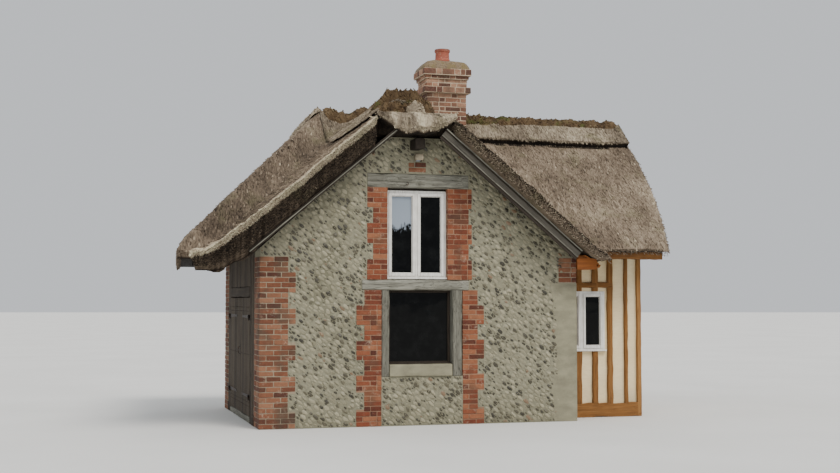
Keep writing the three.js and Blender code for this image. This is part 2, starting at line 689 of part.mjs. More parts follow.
// Chimney
function chimney() {
  const { x, y, top } = STACK;
  const course = (out, z) => block([x[0] - out, x[1] + out], [y[0] - out, y[1] + out], z);
  const head = join([
    course(STRING_OUT, [top + GAP, top + 100]),
    course(NECK.out, [top + 90, top + NECK.top]),
    ...CORBELS.map(([out, low, high]) => course(out, [top + low, top + high])),
  ]);
  const capTop = top + CORBELS.at(-1)[2];
  const half = [(x[1] - x[0]) / 2 + BEVEL.reach, (y[1] - y[0]) / 2 + BEVEL.reach];
  const bevel = new THREE.CylinderGeometry(BEVEL.top * Math.SQRT2, Math.SQRT2, BEVEL.height, 4);
  bevel.rotateY(Math.PI / 4);
  bevel.rotateX(Math.PI / 2);
  bevel.scale(half[0], half[1], 1);
  const centre = [(x[0] + x[1]) / 2, (y[0] + y[1]) / 2];
  bevel.translate(centre[0], centre[1], capTop + BEVEL.height / 2 - 1);
  const potBase = capTop + BEVEL.height - 1 + GAP;
  const inner = POT_RADIUS - POT_WALL;
  const pot = new THREE.LatheGeometry([
    [0, 0],
    [POT_RADIUS + 8, 0],
    [POT_RADIUS + 8, 45],
    [POT_RADIUS, 55],
    [POT_RADIUS - 6, 165],
    [POT_RADIUS + 10, 178],
    [POT_RADIUS + 10, 215],
    [inner, 221],
    [inner, 40],
    [0, 40],
  ].map(([r, h]) => new THREE.Vector2(r, h)), 24);
  pot.rotateX(Math.PI / 2);
  pot.translate(centre[0], centre[1], potBase);
  return {
    chimney_stack: block(x, y, [FLOOR_TOP + GAP, top]),
    chimney_head: head.add(solidOf(bevel)),
    chimney_pot: solidOf(pot),
  };
}

function floors() {
  const inside = LEFT + BOARDED_WALL + GAP;
  const end = RIGHT - TIMBER_WALL - GAP;
  const back = BACK - REAR_FLINT;
  const outline = [
    [inside, FLINT],
    [WING_START - GAP, FLINT],
    [WING_START - GAP, WING_FACE + TIMBER_WALL + GAP],
    [end, WING_FACE + TIMBER_WALL + GAP],
    [end, back],
    [inside, back],
  ];
  return {
    ground_floor: alongZ(outline, [0, FLOOR_TOP]),
    upper_floor: alongZ(outline, UPPER_FLOOR).subtract(stackHole),
  };
}

// Small lamp on the wall under the ridge beam
function lamp() {
  const tilt = 35;
  const arm = block([38, 62], [-120, -GAP], [3990, 4010]);
  const plate = block([20, 80], [-14, -GAP], [3960, 4040]);
  const head = block([-15, 115], [-50, 50], [-45, 45]);
  return arm.add(plate).add(head.rotate([tilt, 0, 0]).translate([0, -110, 3950]));
}

// Finishes
const FINISH = {
  flint: { color: 0x96968a, roughness: 0.9, metalness: 0 },
  brick: { color: 0x8d5736, roughness: 0.85, metalness: 0 },
  chimneyBrick: { color: 0x7c5a50, roughness: 0.88, metalness: 0 },
  clay: { color: 0x9a5a48, roughness: 0.7, metalness: 0 },
  greyTimber: { color: 0x8f8f88, roughness: 0.85, metalness: 0 },
  darkTimber: { color: 0x3b342d, roughness: 0.85, metalness: 0 },
  honeyTimber: { color: 0xa07040, roughness: 0.7, metalness: 0 },
  plaster: { color: 0xd9cfae, roughness: 0.8, metalness: 0 },
  thatch: { color: 0x82736a, roughness: 0.95, metalness: 0 },
  roll: { color: 0x8d8478, roughness: 0.95, metalness: 0 },
  whitePlastic: { color: 0xe8eaee, roughness: 0.4, metalness: 0 },
  glass: { color: 0x20242a, roughness: 0.05, metalness: 0 },
  concrete: { color: 0x8f9088, roughness: 0.9, metalness: 0 },
  boards: { color: 0x6a5b48, roughness: 0.85, metalness: 0 },
  lamp: { color: 0x55524c, roughness: 0.5, metalness: 0.3 },
};

const cottage = new THREE.Group();

function add(name, solid, finish) {
  const mesh = new THREE.Mesh(geometryOf(solid), new THREE.MeshStandardMaterial(FINISH[finish]));
  mesh.name = name;
  cottage.add(mesh);
}

function addAll(solids, finish) {
  Object.entries(solids).forEach(([name, solid]) => add(name, solid, finish));
}

function addWindow(name, [frame, glass]) {
  add(`${name}_frame`, frame, 'whitePlastic');
  add(`${name}_glass`, glass, 'glass');
}

const roofSpace = underRoof();
const trim = (solid) => solid.intersect(roofSpace);

addAll(floors(), 'concrete');
addAll(gableWalls(), 'flint');
for (const [name, dressing] of Object.entries(DRESSINGS)) {
  add(name, dressing(0), name.startsWith('brick') ? 'brick' : 'greyTimber');
}
addAll(gableTimbers(), 'greyTimber');
add('flying_rafter_left', flyingRafter(GABLE_LEFT, -1, RAFTER.footLeft), 'greyTimber');
add('flying_rafter_right', flyingRafter(GABLE_RIGHT_SIDE, 1, RAFTER.footRight), 'greyTimber');
add('gable_lamp', lamp(), 'lamp');
addWindow('upper_window', windowAlongX(UPPER_WINDOW, UPPER_FRAME.set, UPPER_FRAME));
addWindow('lower_window', windowAlongX(LOWER_WINDOW, LOWER_FRAME.set, LOWER_FRAME));
addWindow('wing_window', windowAlongX(WING_WINDOW, WING_FACE + WING_PANE.set, WING_PANE));
addWindow('rear_window', windowAlongX(REAR_WINDOW, BACK - REAR_PANE.set - FRAME.depth, REAR_PANE));
addWindow('end_window', windowAlongY(END_WINDOW, RIGHT - END_PANE.set, END_PANE));
for (const [name, wall] of Object.entries(rearWalls())) add(name, trim(wall), 'flint');
add('wing_wall', trim(wingWall()), 'plaster');
add('wing_frame', trim(wingFrame()), 'honeyTimber');
add('end_wall', trim(endWall()), 'plaster');
add('end_frame', trim(endFrame()), 'honeyTimber');
const side = sideWalls();
side.side_wall_front = join([side.side_wall_front, ...hookSet(HINGE.y[0], -1)]);
side.side_wall_rear = join([side.side_wall_rear, ...hookSet(HINGE.y[1], 1)]);
for (const [name, wall] of Object.entries(side)) add(name, trim(wall), 'boards');
add('door_leaf_front', doorLeaf(HINGE.y[0], 1), 'boards');
add('door_leaf_rear', doorLeaf(HINGE.y[1], -1), 'boards');
addAll(thatch(), 'thatch');
addAll(ridgeRolls(), 'roll');
const stack = chimney();
add('chimney_stack', stack.chimney_stack, 'chimneyBrick');
add('chimney_head', stack.chimney_head, 'chimneyBrick');
add('chimney_pot', stack.chimney_pot, 'clay');

// The origin is the middle of the ground floor's underside
cottage.position.set(-MIDDLE[0], -MIDDLE[1], 0);

export default cottage;
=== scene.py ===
"""Thatched cottage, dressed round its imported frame.

Lengths are in metres and set out from the foot of the front gable: x runs along the front from
the line under the gable's peak, y runs from the gable's face to the back, z is up.
"""
import math
from itertools import product

import bmesh
import bpy
import numpy as np
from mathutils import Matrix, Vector


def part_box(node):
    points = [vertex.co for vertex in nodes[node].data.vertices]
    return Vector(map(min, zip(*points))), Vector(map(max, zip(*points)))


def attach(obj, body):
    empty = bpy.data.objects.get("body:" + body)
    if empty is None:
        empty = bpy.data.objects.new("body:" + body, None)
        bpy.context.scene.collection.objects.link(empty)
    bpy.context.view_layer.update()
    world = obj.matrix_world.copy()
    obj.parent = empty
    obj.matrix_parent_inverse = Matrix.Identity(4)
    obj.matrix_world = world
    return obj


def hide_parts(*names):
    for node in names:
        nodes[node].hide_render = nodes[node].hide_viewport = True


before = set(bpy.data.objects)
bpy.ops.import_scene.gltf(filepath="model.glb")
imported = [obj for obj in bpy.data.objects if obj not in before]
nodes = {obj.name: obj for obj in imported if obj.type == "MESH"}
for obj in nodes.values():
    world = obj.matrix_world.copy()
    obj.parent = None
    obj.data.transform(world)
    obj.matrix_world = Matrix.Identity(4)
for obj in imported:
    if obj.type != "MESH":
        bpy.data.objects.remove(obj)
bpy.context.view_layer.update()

# The frame's origin, seen from the foot of the gable
MIDDLE = np.array([0.8, 1.95, 0.0])

# Main roof: ridge, fall for each metre of run, upright thickness, eaves and verge
RIDGE_Y, RIDGE_Z = 2.2, 4.81
MAIN_FALL, MAIN_THICK = 0.893, 0.45
RIDGE_END_X, ROLL_TIP_X = -1.05, -0.96
# How fast the gable's higher ridge dies away behind the main ridge
REAR_FALL = 1.6
EAVE_RIGHT, EAVE_LEFT, EAVE_REAR = -0.17, -0.37, 4.753
EAVE_LIP, TIP = 0.09, 0.04
VERGE_RIDGE, VERGE_BELLY, VERGE_FOOT = 4.35, 4.5, 4.05

# Left hip, turned a little in plan, and how its two edges run out in plan
HIP_TURN, HIP_FALL, HIP_THICK, HIP_RUN = math.radians(-5.1), 1.031, 0.49, 2.211
HIP_FRONT, HIP_REAR = 1.0429, 1.2816

# Front gable roof, each side: height at x = 0 and fall of its top, then of its soffit (under is the
# soffit's fall), how far its tip and the wall under it reach, how far the rake's rim swells over the
# slope, where the hood's side ends, and the lower edge of the boards under the rake
GABLE_X = -0.095
GABLE_LEFT = {"top": 5.12, "fall": 0.847, "soffit": 4.68, "under": 0.9, "tip": -3.32, "foot": -2.31,
              "swell": ([-2.6, -1.6], [0.02, -0.03]), "inner": 0.6, "verge": (4.61, 0.84)}
GABLE_RIGHT = {"top": 4.96, "fall": 0.831, "soffit": 4.68, "under": 0.824, "tip": 2.96, "foot": 2.58,
               "swell": ([0, 3], [-0.04, -0.04]), "inner": 0.42, "verge": (4.47, 0.83)}
RAKE_Y = -0.42
HOOD_HALF, HOOD_LIP, HOOD_BACK, HOOD_TOP = 0.62, -0.5, 0.3, 4.66

# Lines in plan where the gable's slopes meet the main roof: y at x = 0 and its change with x
VALLEY_LEFT = (2.547, 0.948)
VALLEY_RIGHT = (2.368, -0.931)

# Rolls of straw over the ridges
ROLL_SKIRT, ROLL_SPLIT, ROLL_FLAP = 0.42, -0.43, 1.15

# Grid of the thatch, and how many fine cells one cell of its underside spans
STRAND, COARSE = 0.033, 4

# Ends of the walls, outer face of the rear wall, and height to which the right corner is rendered
LEFT, RIGHT, GABLE_END, BACK = -2.31, 3.91, 2.58, 3.9
RENDER_TOP = 2.12

# Brickwork: a course with its joint, a stretcher, a header, and how far a brick stands proud
COURSE, STRETCHER, HEADER, JOINT, PROUD = 0.075, 0.215, 0.102, 0.01, 0.005

# Directions in which a face looks
FRONT, REAR, WEST, EAST, UP = (0, -1, 0), (0, 1, 0), (-1, 0, 0), (1, 0, 0), (0, 0, 1)


def around(node):
    """Lowest and highest corner of a frame node, from the gable's foot"""
    low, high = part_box(node)
    return np.array(low) + MIDDLE, np.array(high) + MIDDLE


# Finishes

def tint(red, green, blue):
    """A colour given as 0 to 255, in the shader's own values"""
    return tuple((c / 255) ** 2.2 for c in (red, green, blue)) + (1.0,)


class Wire:
    """One socket of a finish; sums on it add Math nodes"""

    def __init__(self, finish, socket):
        self.finish, self.socket = finish, socket

    def sum(self, operation, first, second=0.0):
        return self.finish.make("ShaderNodeMath", {"operation": operation}, [first, second])

    def __add__(self, other):
        return self.sum("ADD", self, other)

    def __sub__(self, other):
        return self.sum("SUBTRACT", self, other)

    def __rsub__(self, other):
        return self.sum("SUBTRACT", other, self)

    def __mul__(self, other):
        return self.sum("MULTIPLY", self, other)

    def __abs__(self):
        return self.sum("ABSOLUTE", self)

    __radd__, __rmul__ = __add__, __mul__

    def level(self, low, high):
        """0 below low, 1 above high, smooth between"""
        settings = {"interpolation_type": "SMOOTHSTEP", "clamp": True}
        return self.finish.make("ShaderNodeMapRange", settings, [self, low, high, 0.0, 1.0])


class Finish:
    """A material whose nodes are made in plain expressions; its colours are 0 to 255"""

    def __init__(self, name):
        self.material = bpy.data.materials.new(name)
        self.material.use_nodes = True
        self.tree = self.material.node_tree

    def make(self, kind, settings=None, inputs=(), out=0):
        node = self.tree.nodes.new(kind)
        for key, value in (settings or {}).items():
            if key == "stops":
                ramp = node.color_ramp
                while len(ramp.elements) < len(value):
                    ramp.elements.new(0.5)
                for element, (place, colour) in zip(ramp.elements, value):
                    element.position, element.color = place, tint(*colour)
            else:
                setattr(node, key, value)
        for key, value in inputs.items() if isinstance(inputs, dict) else enumerate(inputs):
            self.plug(node.inputs[key], value)
        return Wire(self, node.outputs[out])

    def plug(self, socket, value):
        if isinstance(value, Wire):
            self.tree.links.new(value.socket, socket)
        else:
            socket.default_value = value

    def place(self):
        return self.make("ShaderNodeTexCoord", out="Object")

    def along(self, axis):
        return self.make("ShaderNodeSeparateXYZ", {}, [self.place()], axis)

    def kept(self, name, out):
        """What each point of the mesh keeps: its tone, or its place in the grain"""
        return self.make("ShaderNodeAttribute", {"attribute_name": name}, out=out)

    def cloud(self, where, scale=1.0, detail=2.0, rough=0.5, stretch=None):
        """Noise; stretch is how fine it is along each axis"""
        if stretch:
            where = self.make("ShaderNodeVectorMath", {"operation": "MULTIPLY"}, [where, stretch])
        inputs = {"Vector": where, "Scale": scale, "Detail": detail, "Roughness": rough}
        return self.make("ShaderNodeTexNoise", {}, inputs)

    def cells(self, where, scale):
        return self.make("ShaderNodeTexVoronoi", {}, {"Vector": where, "Scale": scale}, "Distance")

    def ramp(self, value, *stops):
        return self.make("ShaderNodeValToRGB", {"stops": stops}, [value])

    def mix(self, first, second, share):
        first, second = (c if isinstance(c, Wire) else tint(*c) for c in (first, second))
        return self.make("ShaderNodeMix", {"data_type": "RGBA"}, {0: share, 6: first, 7: second}, 2)

    def shade(self, colour, rough, relief=None, depth=0.0, strength=1.0, **more):
        sockets = {"Base Color": colour, "Roughness": rough, **more}
        if relief:
            inputs = {"Height": relief, "Distance": depth, "Strength": strength}
            sockets["Normal"] = self.make("ShaderNodeBump", {}, inputs)
        for name, value in sockets.items():
            self.plug(self.tree.nodes["Principled BSDF"].inputs[name.replace("_", " ")], value)
        return self.material


def reed_finish(name, dark, middle, pale, moss, mossy):
    """Weathered reed: fine straws along the grain, clumps, and a green cast in patches; the kept tone also
    paints light and shade: paler lit rims on the rakes, darker cut faces, skirt edges and undersides
    """
    f = Finish(name)
    grain, place, tone = f.kept("grain", "Vector"), f.place(), f.kept("tone", "Fac")
    straws = f.cloud(grain, detail=3.0, rough=0.6, stretch=(210.0, 210.0, 11.0))
    clumps = f.cloud(grain, stretch=(38.0, 38.0, 9.0))
    weather = f.cloud(place, 0.9, 5.0, 0.6)
    shade = straws * 0.55 + clumps * 0.35 + tone * 0.7 + weather * 0.2 - 0.4
    colour = f.ramp(shade, (0.0, (26, 22, 19)), (0.2, dark), (0.46, middle), (0.82, pale),
                    (1.0, (206, 198, 168)))
    patches = f.cloud(place, 2.3, 6.0, 0.65).level(0.52, 0.68) * mossy * tone.level(0, 0.4)
    colour = f.mix(colour, moss, patches)
    return f.shade(colour, 0.82 + straws * 0.15, straws * 0.6 + clumps * 0.4, 0.012, 0.9,
                   Specular_IOR_Level=0.2)


def mortar_finish(name, dark, pale, stain):
    """Lime mortar with sand in it, rain stains and a darker foot"""
    f = Finish(name)
    place = f.place()
    sand, trowel = f.cloud(place, 320.0), f.cloud(place, 22.0, 4.0, 0.6)
    stains = f.cloud(place, detail=4.0, stretch=(2.2, 2.2, 0.8))
    colour = f.ramp(sand * 0.4 + trowel * 0.6, (0.3, dark), (0.7, pale))
    colour = f.mix(colour, stain, stains.level(0.5, 0.72) * 0.55)
    foot = 1.0 - f.along("Z").level(0.02, 0.55)
    colour = f.mix(colour, stain, foot * 0.5 * trowel.level(0.3, 0.6))
    return f.shade(colour, 0.93, sand * 0.3 + trowel, 0.006, 0.8)


def flint_finish():
    """Knapped and whole flints: glassy dark hearts, chalky skins, brown stains; the dark tones are also
    painted shade, standing for the shadowed gaps between stones
    """
    f = Finish("knapped_flint")
    place = f.place()
    colour = f.ramp(f.kept("tone", "Fac"), (0.0, (46, 43, 32)), (0.3, (72, 67, 52)), (0.5, (122, 116, 94)),
                    (0.7, (130, 125, 103)), (0.92, (152, 145, 121)), (1.0, (118, 96, 74)))
    skin, veins = f.cloud(place, 42.0, 5.0, 0.65), f.cloud(place, 100.0, 3.0)
    colour = f.mix(colour, (168, 160, 132), skin.level(0.54, 0.66) * 0.5)
    colour = f.mix(colour, (50, 47, 38), veins.level(0.56, 0.7) * 0.35)
    return f.shade(colour, 0.42 + skin.level(0.5, 0.66) * 0.4, veins * 0.5 + skin, 0.006, 0.6)


def brick_finish(name, deep, warm, pale, soot, sooty):
    """Soft burnt brick: each one its own shade, pitted, with lime bloom and soot"""
    f = Finish(name)
    place = f.place()
    grit, burnt, bloom = (f.cloud(place, *sizes) for sizes in ((260.0, 3.0), (30.0, 4.0, 0.6),
                                                               (11.0, 6.0, 0.7)))
    colour = f.ramp(f.kept("tone", "Fac") * 0.8 + burnt * 0.5 - 0.15, (0.1, deep), (0.5, warm), (0.9, pale))
    colour = f.mix(colour, (196, 180, 158), bloom.level(0.56, 0.74) * 0.45)
    colour = f.mix(colour, soot, f.cloud(place, 3.1, 5.0).level(0.48, 0.7) * sooty)
    pits = f.cells(place, 90.0).level(0.0, 0.28)
    colour = f.mix(colour, deep, (1.0 - pits) * 0.5)
    return f.shade(colour, 0.9, grit * 0.35 + burnt * 0.5 + pits * 0.5, 0.005, 0.8)


def timber_finish(name, deep, middle, pale, weathered=0.5):
    """Sawn or hewn oak: grain lines, drying cracks and weathered faces"""
    f = Finish(name)
    grain = f.kept("grain", "Vector")
    fibres = f.cloud(grain, detail=4.0, rough=0.6, stretch=(150.0, 150.0, 5.0))
    rings = f.cloud(grain, detail=3.0, stretch=(26.0, 26.0, 1.4))
    cracks = f.cloud(grain, stretch=(46.0, 46.0, 1.6))
    shade = fibres * 0.5 + rings * 0.5 + f.kept("tone", "Fac") * 0.5 - 0.25
    colour = f.ramp(shade, (0.15, deep), (0.5, middle), (0.85, pale))
    lines = (1.0 - abs(cracks - 0.5).level(0.0, 0.03)) * weathered
    colour = f.mix(colour, (34, 29, 24), lines * 0.85)
    return f.shade(colour, 0.75 + fibres * 0.2, fibres * 0.4 + rings * 0.3 - lines * 0.8, 0.005, 0.8,
                   Specular_IOR_Level=0.3)


def limewash_finish():
    """Cream limewash over hair plaster: brush drift, damp edge at the foot, small chips"""
    f = Finish("cream_limewash")
    place = f.place()
    brush = f.cloud(place, detail=5.0, rough=0.6, stretch=(9.0, 9.0, 34.0))
    drift, chips = f.cloud(place, 1.7, 4.0), f.cloud(place, 60.0, 3.0)
    colour = f.ramp(brush * 0.4 + drift * 0.6, (0.3, (220, 196, 150)), (0.7, (244, 226, 186)))
    foot = 1.0 - f.along("Z").level(0.1, 0.8)
    colour = f.mix(colour, (140, 130, 104), foot * drift.level(0.35, 0.6) * 0.5)
    colour = f.mix(colour, (176, 166, 140), chips.level(0.69, 0.72) * 0.6)
    return f.shade(colour, 0.85, brush * 0.5 + f.cloud(place, 14.0, 3.0), 0.006, 0.6)


def joinery_finish():
    """White satin joinery with patches of dust and faint rain streaks"""
    f = Finish("white_joinery")
    place = f.place()
    dust, streaks = f.cloud(place, 8.0, 5.0, 0.65), f.cloud(place, stretch=(60.0, 60.0, 3.0))
    colour = f.ramp(dust * 0.5 + streaks * 0.5, (0.28, (188, 184, 175)), (0.6, (230, 227, 221)))
    return f.shade(colour, 0.32 + dust * 0.25, streaks, 0.001, 0.4)


def glass_finish():
    """Window glass, painted dark for the unlit rooms behind it, with a film of dust; the upper part of the
    upper casement's left pane carries a painted reflection of the daylight
    """
    f = Finish("window_glass")
    place = f.place()
    dust = f.cloud(place, 5.0, 6.0, 0.7)
    colour = f.ramp(dust, (0.45, (8, 9, 10)), (0.8, (26, 27, 27)))
    x, height = f.along("X"), f.along("Z")
    ragged = height + f.cloud(place, detail=5.0, rough=0.7, stretch=(9.0, 9.0, 5.0)) * 0.5
    # Painted reflection of the daylight on the upper part of the upper casement's left pane
    painted_reflection = ragged.level(3.14, 3.2) * (1.0 - x.level(-0.76, -0.75)) * x.level(-1.3, -1.29)
    colour = f.mix(colour, (150, 160, 172), painted_reflection * 0.85)
    return f.shade(colour, 0.03 + dust.level(0.5, 0.8) * 0.12, f.cloud(place, 3.0, 1.0), 0.01, 0.25, IOR=1.22)


def iron_finish(name, dark, rust, rusty):
    """Forged iron with rust coming through"""
    f = Finish(name)
    place = f.place()
    rusted = f.cloud(place, 45.0, 5.0, 0.7).level(0.48, 0.62) * rusty
    return f.shade(f.mix(dark, rust, rusted), 0.5 + rusted * 0.35, f.cloud(place, 90.0, 3.0), 0.002, 0.6,
                   Metallic=0.7 - rusted * 0.6)


def clay_finish():
    """Terracotta with throwing rings, lichen specks and soot round the mouth"""
    f = Finish("terracotta")
    place = f.place()
    rings, spots = f.cloud(place, stretch=(2.0, 2.0, 90.0)), f.cloud(place, 50.0, 4.0)
    colour = f.ramp(rings * 0.4 + spots * 0.6, (0.3, (122, 58, 44)), (0.7, (176, 98, 74)))
    colour = f.mix(colour, (186, 178, 150), f.cloud(place, 26.0, 5.0).level(0.62, 0.7) * 0.6)
    colour = f.mix(colour, (58, 44, 40), f.along("Z").level(5.97, 6.04) * spots.level(0.3, 0.6) * 0.7)
    return f.shade(colour, 0.72, rings + spots * 0.3, 0.003, 0.6)


def lichen_finish():
    """Mortar cap grown over with yellow-green and grey lichen"""
    f = Finish("lichened_mortar")
    place = f.place()
    rough = f.cloud(place, 40.0, 5.0, 0.65)
    green, white = f.cloud(place, 9.0, 6.0, 0.7).level(0.45, 0.6), f.cells(place, 26.0).level(0.0, 0.22)
    colour = f.ramp(rough, (0.3, (82, 68, 54)), (0.7, (142, 124, 100)))
    colour = f.mix(colour, (112, 98, 60), green * 0.65)
    colour = f.mix(colour, (206, 204, 190), (1.0 - white) * green * 0.6)
    return f.shade(colour, 0.95, rough, 0.01, 0.9)


def cement_finish():
    """Old cement: grey, sandy, with water marks"""
    f = Finish("old_cement")
    place = f.place()
    sand, marks = f.cloud(place, 240.0), f.cloud(place, detail=6.0, rough=0.6, stretch=(3.0, 3.0, 6.0))
    colour = f.ramp(sand * 0.3 + marks * 0.7, (0.3, (104, 100, 84)), (0.7, (152, 147, 122)))
    return f.shade(colour, 0.9, sand * 0.5 + marks, 0.004, 0.6)


def floor_finish():
    f = Finish("studio_floor")
    return f.shade(f.ramp(f.cloud(f.place(), 0.35, 3.0), (0.3, (214, 213, 209)), (0.7, (222, 221, 217))), 0.8)


REED, STRAW, EARTH = (reed_finish(*row) for row in (
    ("weathered_reed", (52, 44, 36), (116, 102, 87), (178, 163, 141), (96, 98, 66), 0.28),
    ("ridge_straw", (64, 55, 45), (124, 112, 96), (184, 171, 148), (100, 98, 62), 0.4),
    ("mossy_earth", (42, 33, 26), (82, 66, 48), (118, 100, 74), (72, 78, 40), 1.0)))
FLINT_MORTAR, QUOIN_MORTAR, STACK_MORTAR, BRICK_MORTAR = (mortar_finish(*row) for row in (
    ("flint_wall_mortar", (106, 103, 86), (146, 142, 120), (97, 94, 75)),
    ("pale_quoin_mortar", (118, 106, 88), (156, 142, 120), (96, 86, 72)),
    ("pale_stack_mortar", (150, 130, 110), (196, 176, 150), (120, 104, 88)),
    ("brick_mortar", (120, 90, 70), (158, 126, 101), (98, 74, 58))))
DRESSING_BRICK, QUOIN_BRICK, STACK_BRICK = (brick_finish(*row) for row in (
    ("orange_red_brick", (72, 36, 25), (116, 60, 38), (142, 92, 64), (78, 58, 44), 0.6),
    ("faded_red_brick", (68, 40, 30), (112, 68, 47), (136, 96, 72), (74, 62, 50), 0.75),
    ("chimney_brick", (82, 54, 44), (132, 94, 74), (172, 134, 108), (76, 62, 50), 0.65)))
GREY_OAK, SHADED_OAK, DARK_OAK, HONEY_OAK, AMBER_OAK, OLD_SHADED_BOARD = (timber_finish(*row) for row in (
    ("limed_grey_oak", (48, 46, 40), (116, 114, 103), (172, 170, 156), 0.85),
    ("shaded_grey_oak", (50, 46, 41), (84, 80, 72), (120, 116, 106)),
    # Dark oak also serves as painted shadow: the strip over the upper casement and the dark lines under the
    # verges
    ("dark_stained_oak", (30, 26, 22), (54, 47, 40), (84, 74, 62)),
    ("honey_oak", (78, 50, 27), (126, 86, 46), (160, 118, 72), 0.4),
    ("amber_soffit_oak", (84, 48, 22), (130, 76, 35), (160, 104, 56), 0.3),
    # The old boards are darkened as painted shade of the deep left eave, over their own weathered colour
    ("old_boards", (34, 29, 24), (64, 55, 45), (98, 87, 73), 0.6)))
IRON = iron_finish("black_iron", (38, 36, 34), (104, 62, 36), 0.5)
LAMP_PAINT = iron_finish("lamp_paint", (146, 136, 116), (122, 104, 80), 0.3)
FLINT, LIMEWASH, JOINERY, GLASS = flint_finish(), limewash_finish(), joinery_finish(), glass_finish()
CLAY, LICHEN, CEMENT = clay_finish(), lichen_finish(), cement_finish()


# Meshes

def link(name, data):
    made = bpy.data.objects.new(name, data)
    bpy.context.scene.collection.objects.link(made)
    return made


def unit(vectors):
    length = np.linalg.norm(vectors, axis=-1, keepdims=True)
    return vectors / np.maximum(length, 1e-9)


def grid_faces(index):
    """Faces between the rows and columns of a grid of point numbers"""
    return np.stack([index[:-1, :-1], index[1:, :-1], index[1:, 1:], index[:-1, 1:]], -1).reshape(-1, 4)


def band(ring, next_ring):
    """Faces between two rings of point numbers"""
    return np.stack([ring, np.roll(ring, -1), np.roll(next_ring, -1), next_ring], -1)


def repeated(faces, many, each):
    """The faces of one shape, numbered on for many copies of it"""
    steps = np.arange(many)[:, None, None] * each
    return [(np.asarray(group)[None] + steps).reshape(-1, len(group[0])) for group in faces]


class Lot:
    """Points and faces gathered for one piece; each point keeps a tone and a place in the grain"""

    def __init__(self):
        self.points, self.tones, self.grains, self.faces = [], [], [], []
        self.count = 0

    def add(self, points, faces, tone=0.5, grain=None):
        points = np.asarray(points, float).reshape(-1, 3)
        self.points.append(points)
        self.tones.append(np.ones(len(points)) * tone)
        self.grains.append(points if grain is None else np.asarray(grain, float).reshape(-1, 3))
        for group in faces:
            self.faces += (np.asarray(group) + self.count).tolist()
        self.count += len(points)

    def piece(self, name, material, slot, body="house", replaces=(), crease=38):
        mesh = bpy.data.meshes.new(name)
        points = np.concatenate(self.points) - MIDDLE
        mesh.from_pydata(points.tolist(), [], self.faces)
        for label, kind, key, lists in (("tone", "FLOAT", "value", self.tones),
                                        ("grain", "FLOAT_VECTOR", "vector", self.grains)):
            layer = mesh.attributes.new(label, kind, "POINT")
            layer.data.foreach_set(key, np.concatenate(lists).astype(np.float32).ravel())
        work = bmesh.new()
        work.from_mesh(mesh)
        bmesh.ops.recalc_face_normals(work, faces=work.faces)
        work.to_mesh(mesh)
        work.free()
        mesh.shade_smooth()
        mesh.set_sharp_from_angle(angle=math.radians(crease))
        mesh.materials.append(material)
        made = link(name, mesh)
        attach(made, body)
        if replaces:
            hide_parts(*replaces)


def lumps(u, v, seed):
    """Smooth heights between -1 and 1, about one lump to each unit"""
    across, along = 61, 67
    table = np.random.default_rng(seed).uniform(-1, 1, (across, along))
    whole_u, whole_v = np.floor(u).astype(int), np.floor(v).astype(int)
    part_u, part_v = ((part * part * (3 - 2 * part)) for part in (u - whole_u, v - whole_v))

    def row(b):
        left, right = (table[(whole_u + a) % across, (whole_v + b) % along] for a in (0, 1))
        return left * (1 - part_u) + right * part_u

    return row(0) * (1 - part_v) + row(1) * part_v


def tube(lot, rings, tone=0.5, grain=None, closed=False):
    """A skin over a row of rings of points, capped at both ends or closed on itself"""
    index = np.arange(rings.shape[0] * rings.shape[1]).reshape(rings.shape[:2])
    pairs = zip(index, np.roll(index, -1, 0) if closed else index[1:])
    caps = [] if closed else [index[[0, -1]]]
    lot.add(rings, [*(band(*pair) for pair in pairs), *caps], tone, grain)


def block_shape():
    """Points of a block with cut edges, three at each corner: their places, and how far each draws
    in; then its faces and its cut edges and corners"""
    signs = np.array(list(product((-1, 1), repeat=3)), float)
    points = np.tile(signs, (3, 1))
    draw = points * np.repeat(1 - np.eye(3), 8, axis=0)
    weight, square, quads = (4, 2, 1), [(0, 0), (1, 0), (1, 1), (0, 1)], []
    for axis in range(3):
        one, two = (k for k in range(3) if k != axis)

        def number(face, level, a, b):
            return 8 * face + level * weight[axis] + a * weight[one] + b * weight[two]

        quads += [[number(axis, level, a, b) for a, b in square] for level in (0, 1)]
        quads += [[number(one, 0, a, b), number(two, 0, a, b), number(two, 1, a, b), number(one, 1, a, b)]
                  for a, b in square]
    return points, draw, [quads, [[k, k + 8, k + 16] for k in range(8)]]


BLOCK_POINTS, BLOCK_DRAW, BLOCK_FACES = block_shape()
CORNER = ((BLOCK_POINTS + 1) / 2 @ [1, 2, 4]).astype(int)


def blocks(lot, lows, highs, chamfer=0.004, tones=0.5, along=0, jitter=0.0, rng=None):
    """Blocks with cut edges between lowest and highest corners; the grain runs along one axis"""
    rng = rng or np.random.default_rng(1)
    lows, highs = (np.atleast_2d(np.asarray(ends, float)) for ends in (lows, highs))
    many, half, middle = len(lows), (highs - lows) / 2, (highs + lows) / 2
    draw = np.minimum(chamfer, half * 0.45)
    points = middle[:, None] + BLOCK_POINTS * half[:, None] - BLOCK_DRAW * draw[:, None]
    points += rng.uniform(-jitter, jitter, (many, 8, 3))[:, CORNER]
    order = [k for k in range(3) if k != along] + [along]
    grains = (points - middle[:, None])[..., order] + rng.uniform(0, 40, (many, 1, 3))
    each = len(BLOCK_POINTS)
    lot.add(points, repeated(BLOCK_FACES, many, each), np.repeat(np.ones(many) * tones, each), grains)


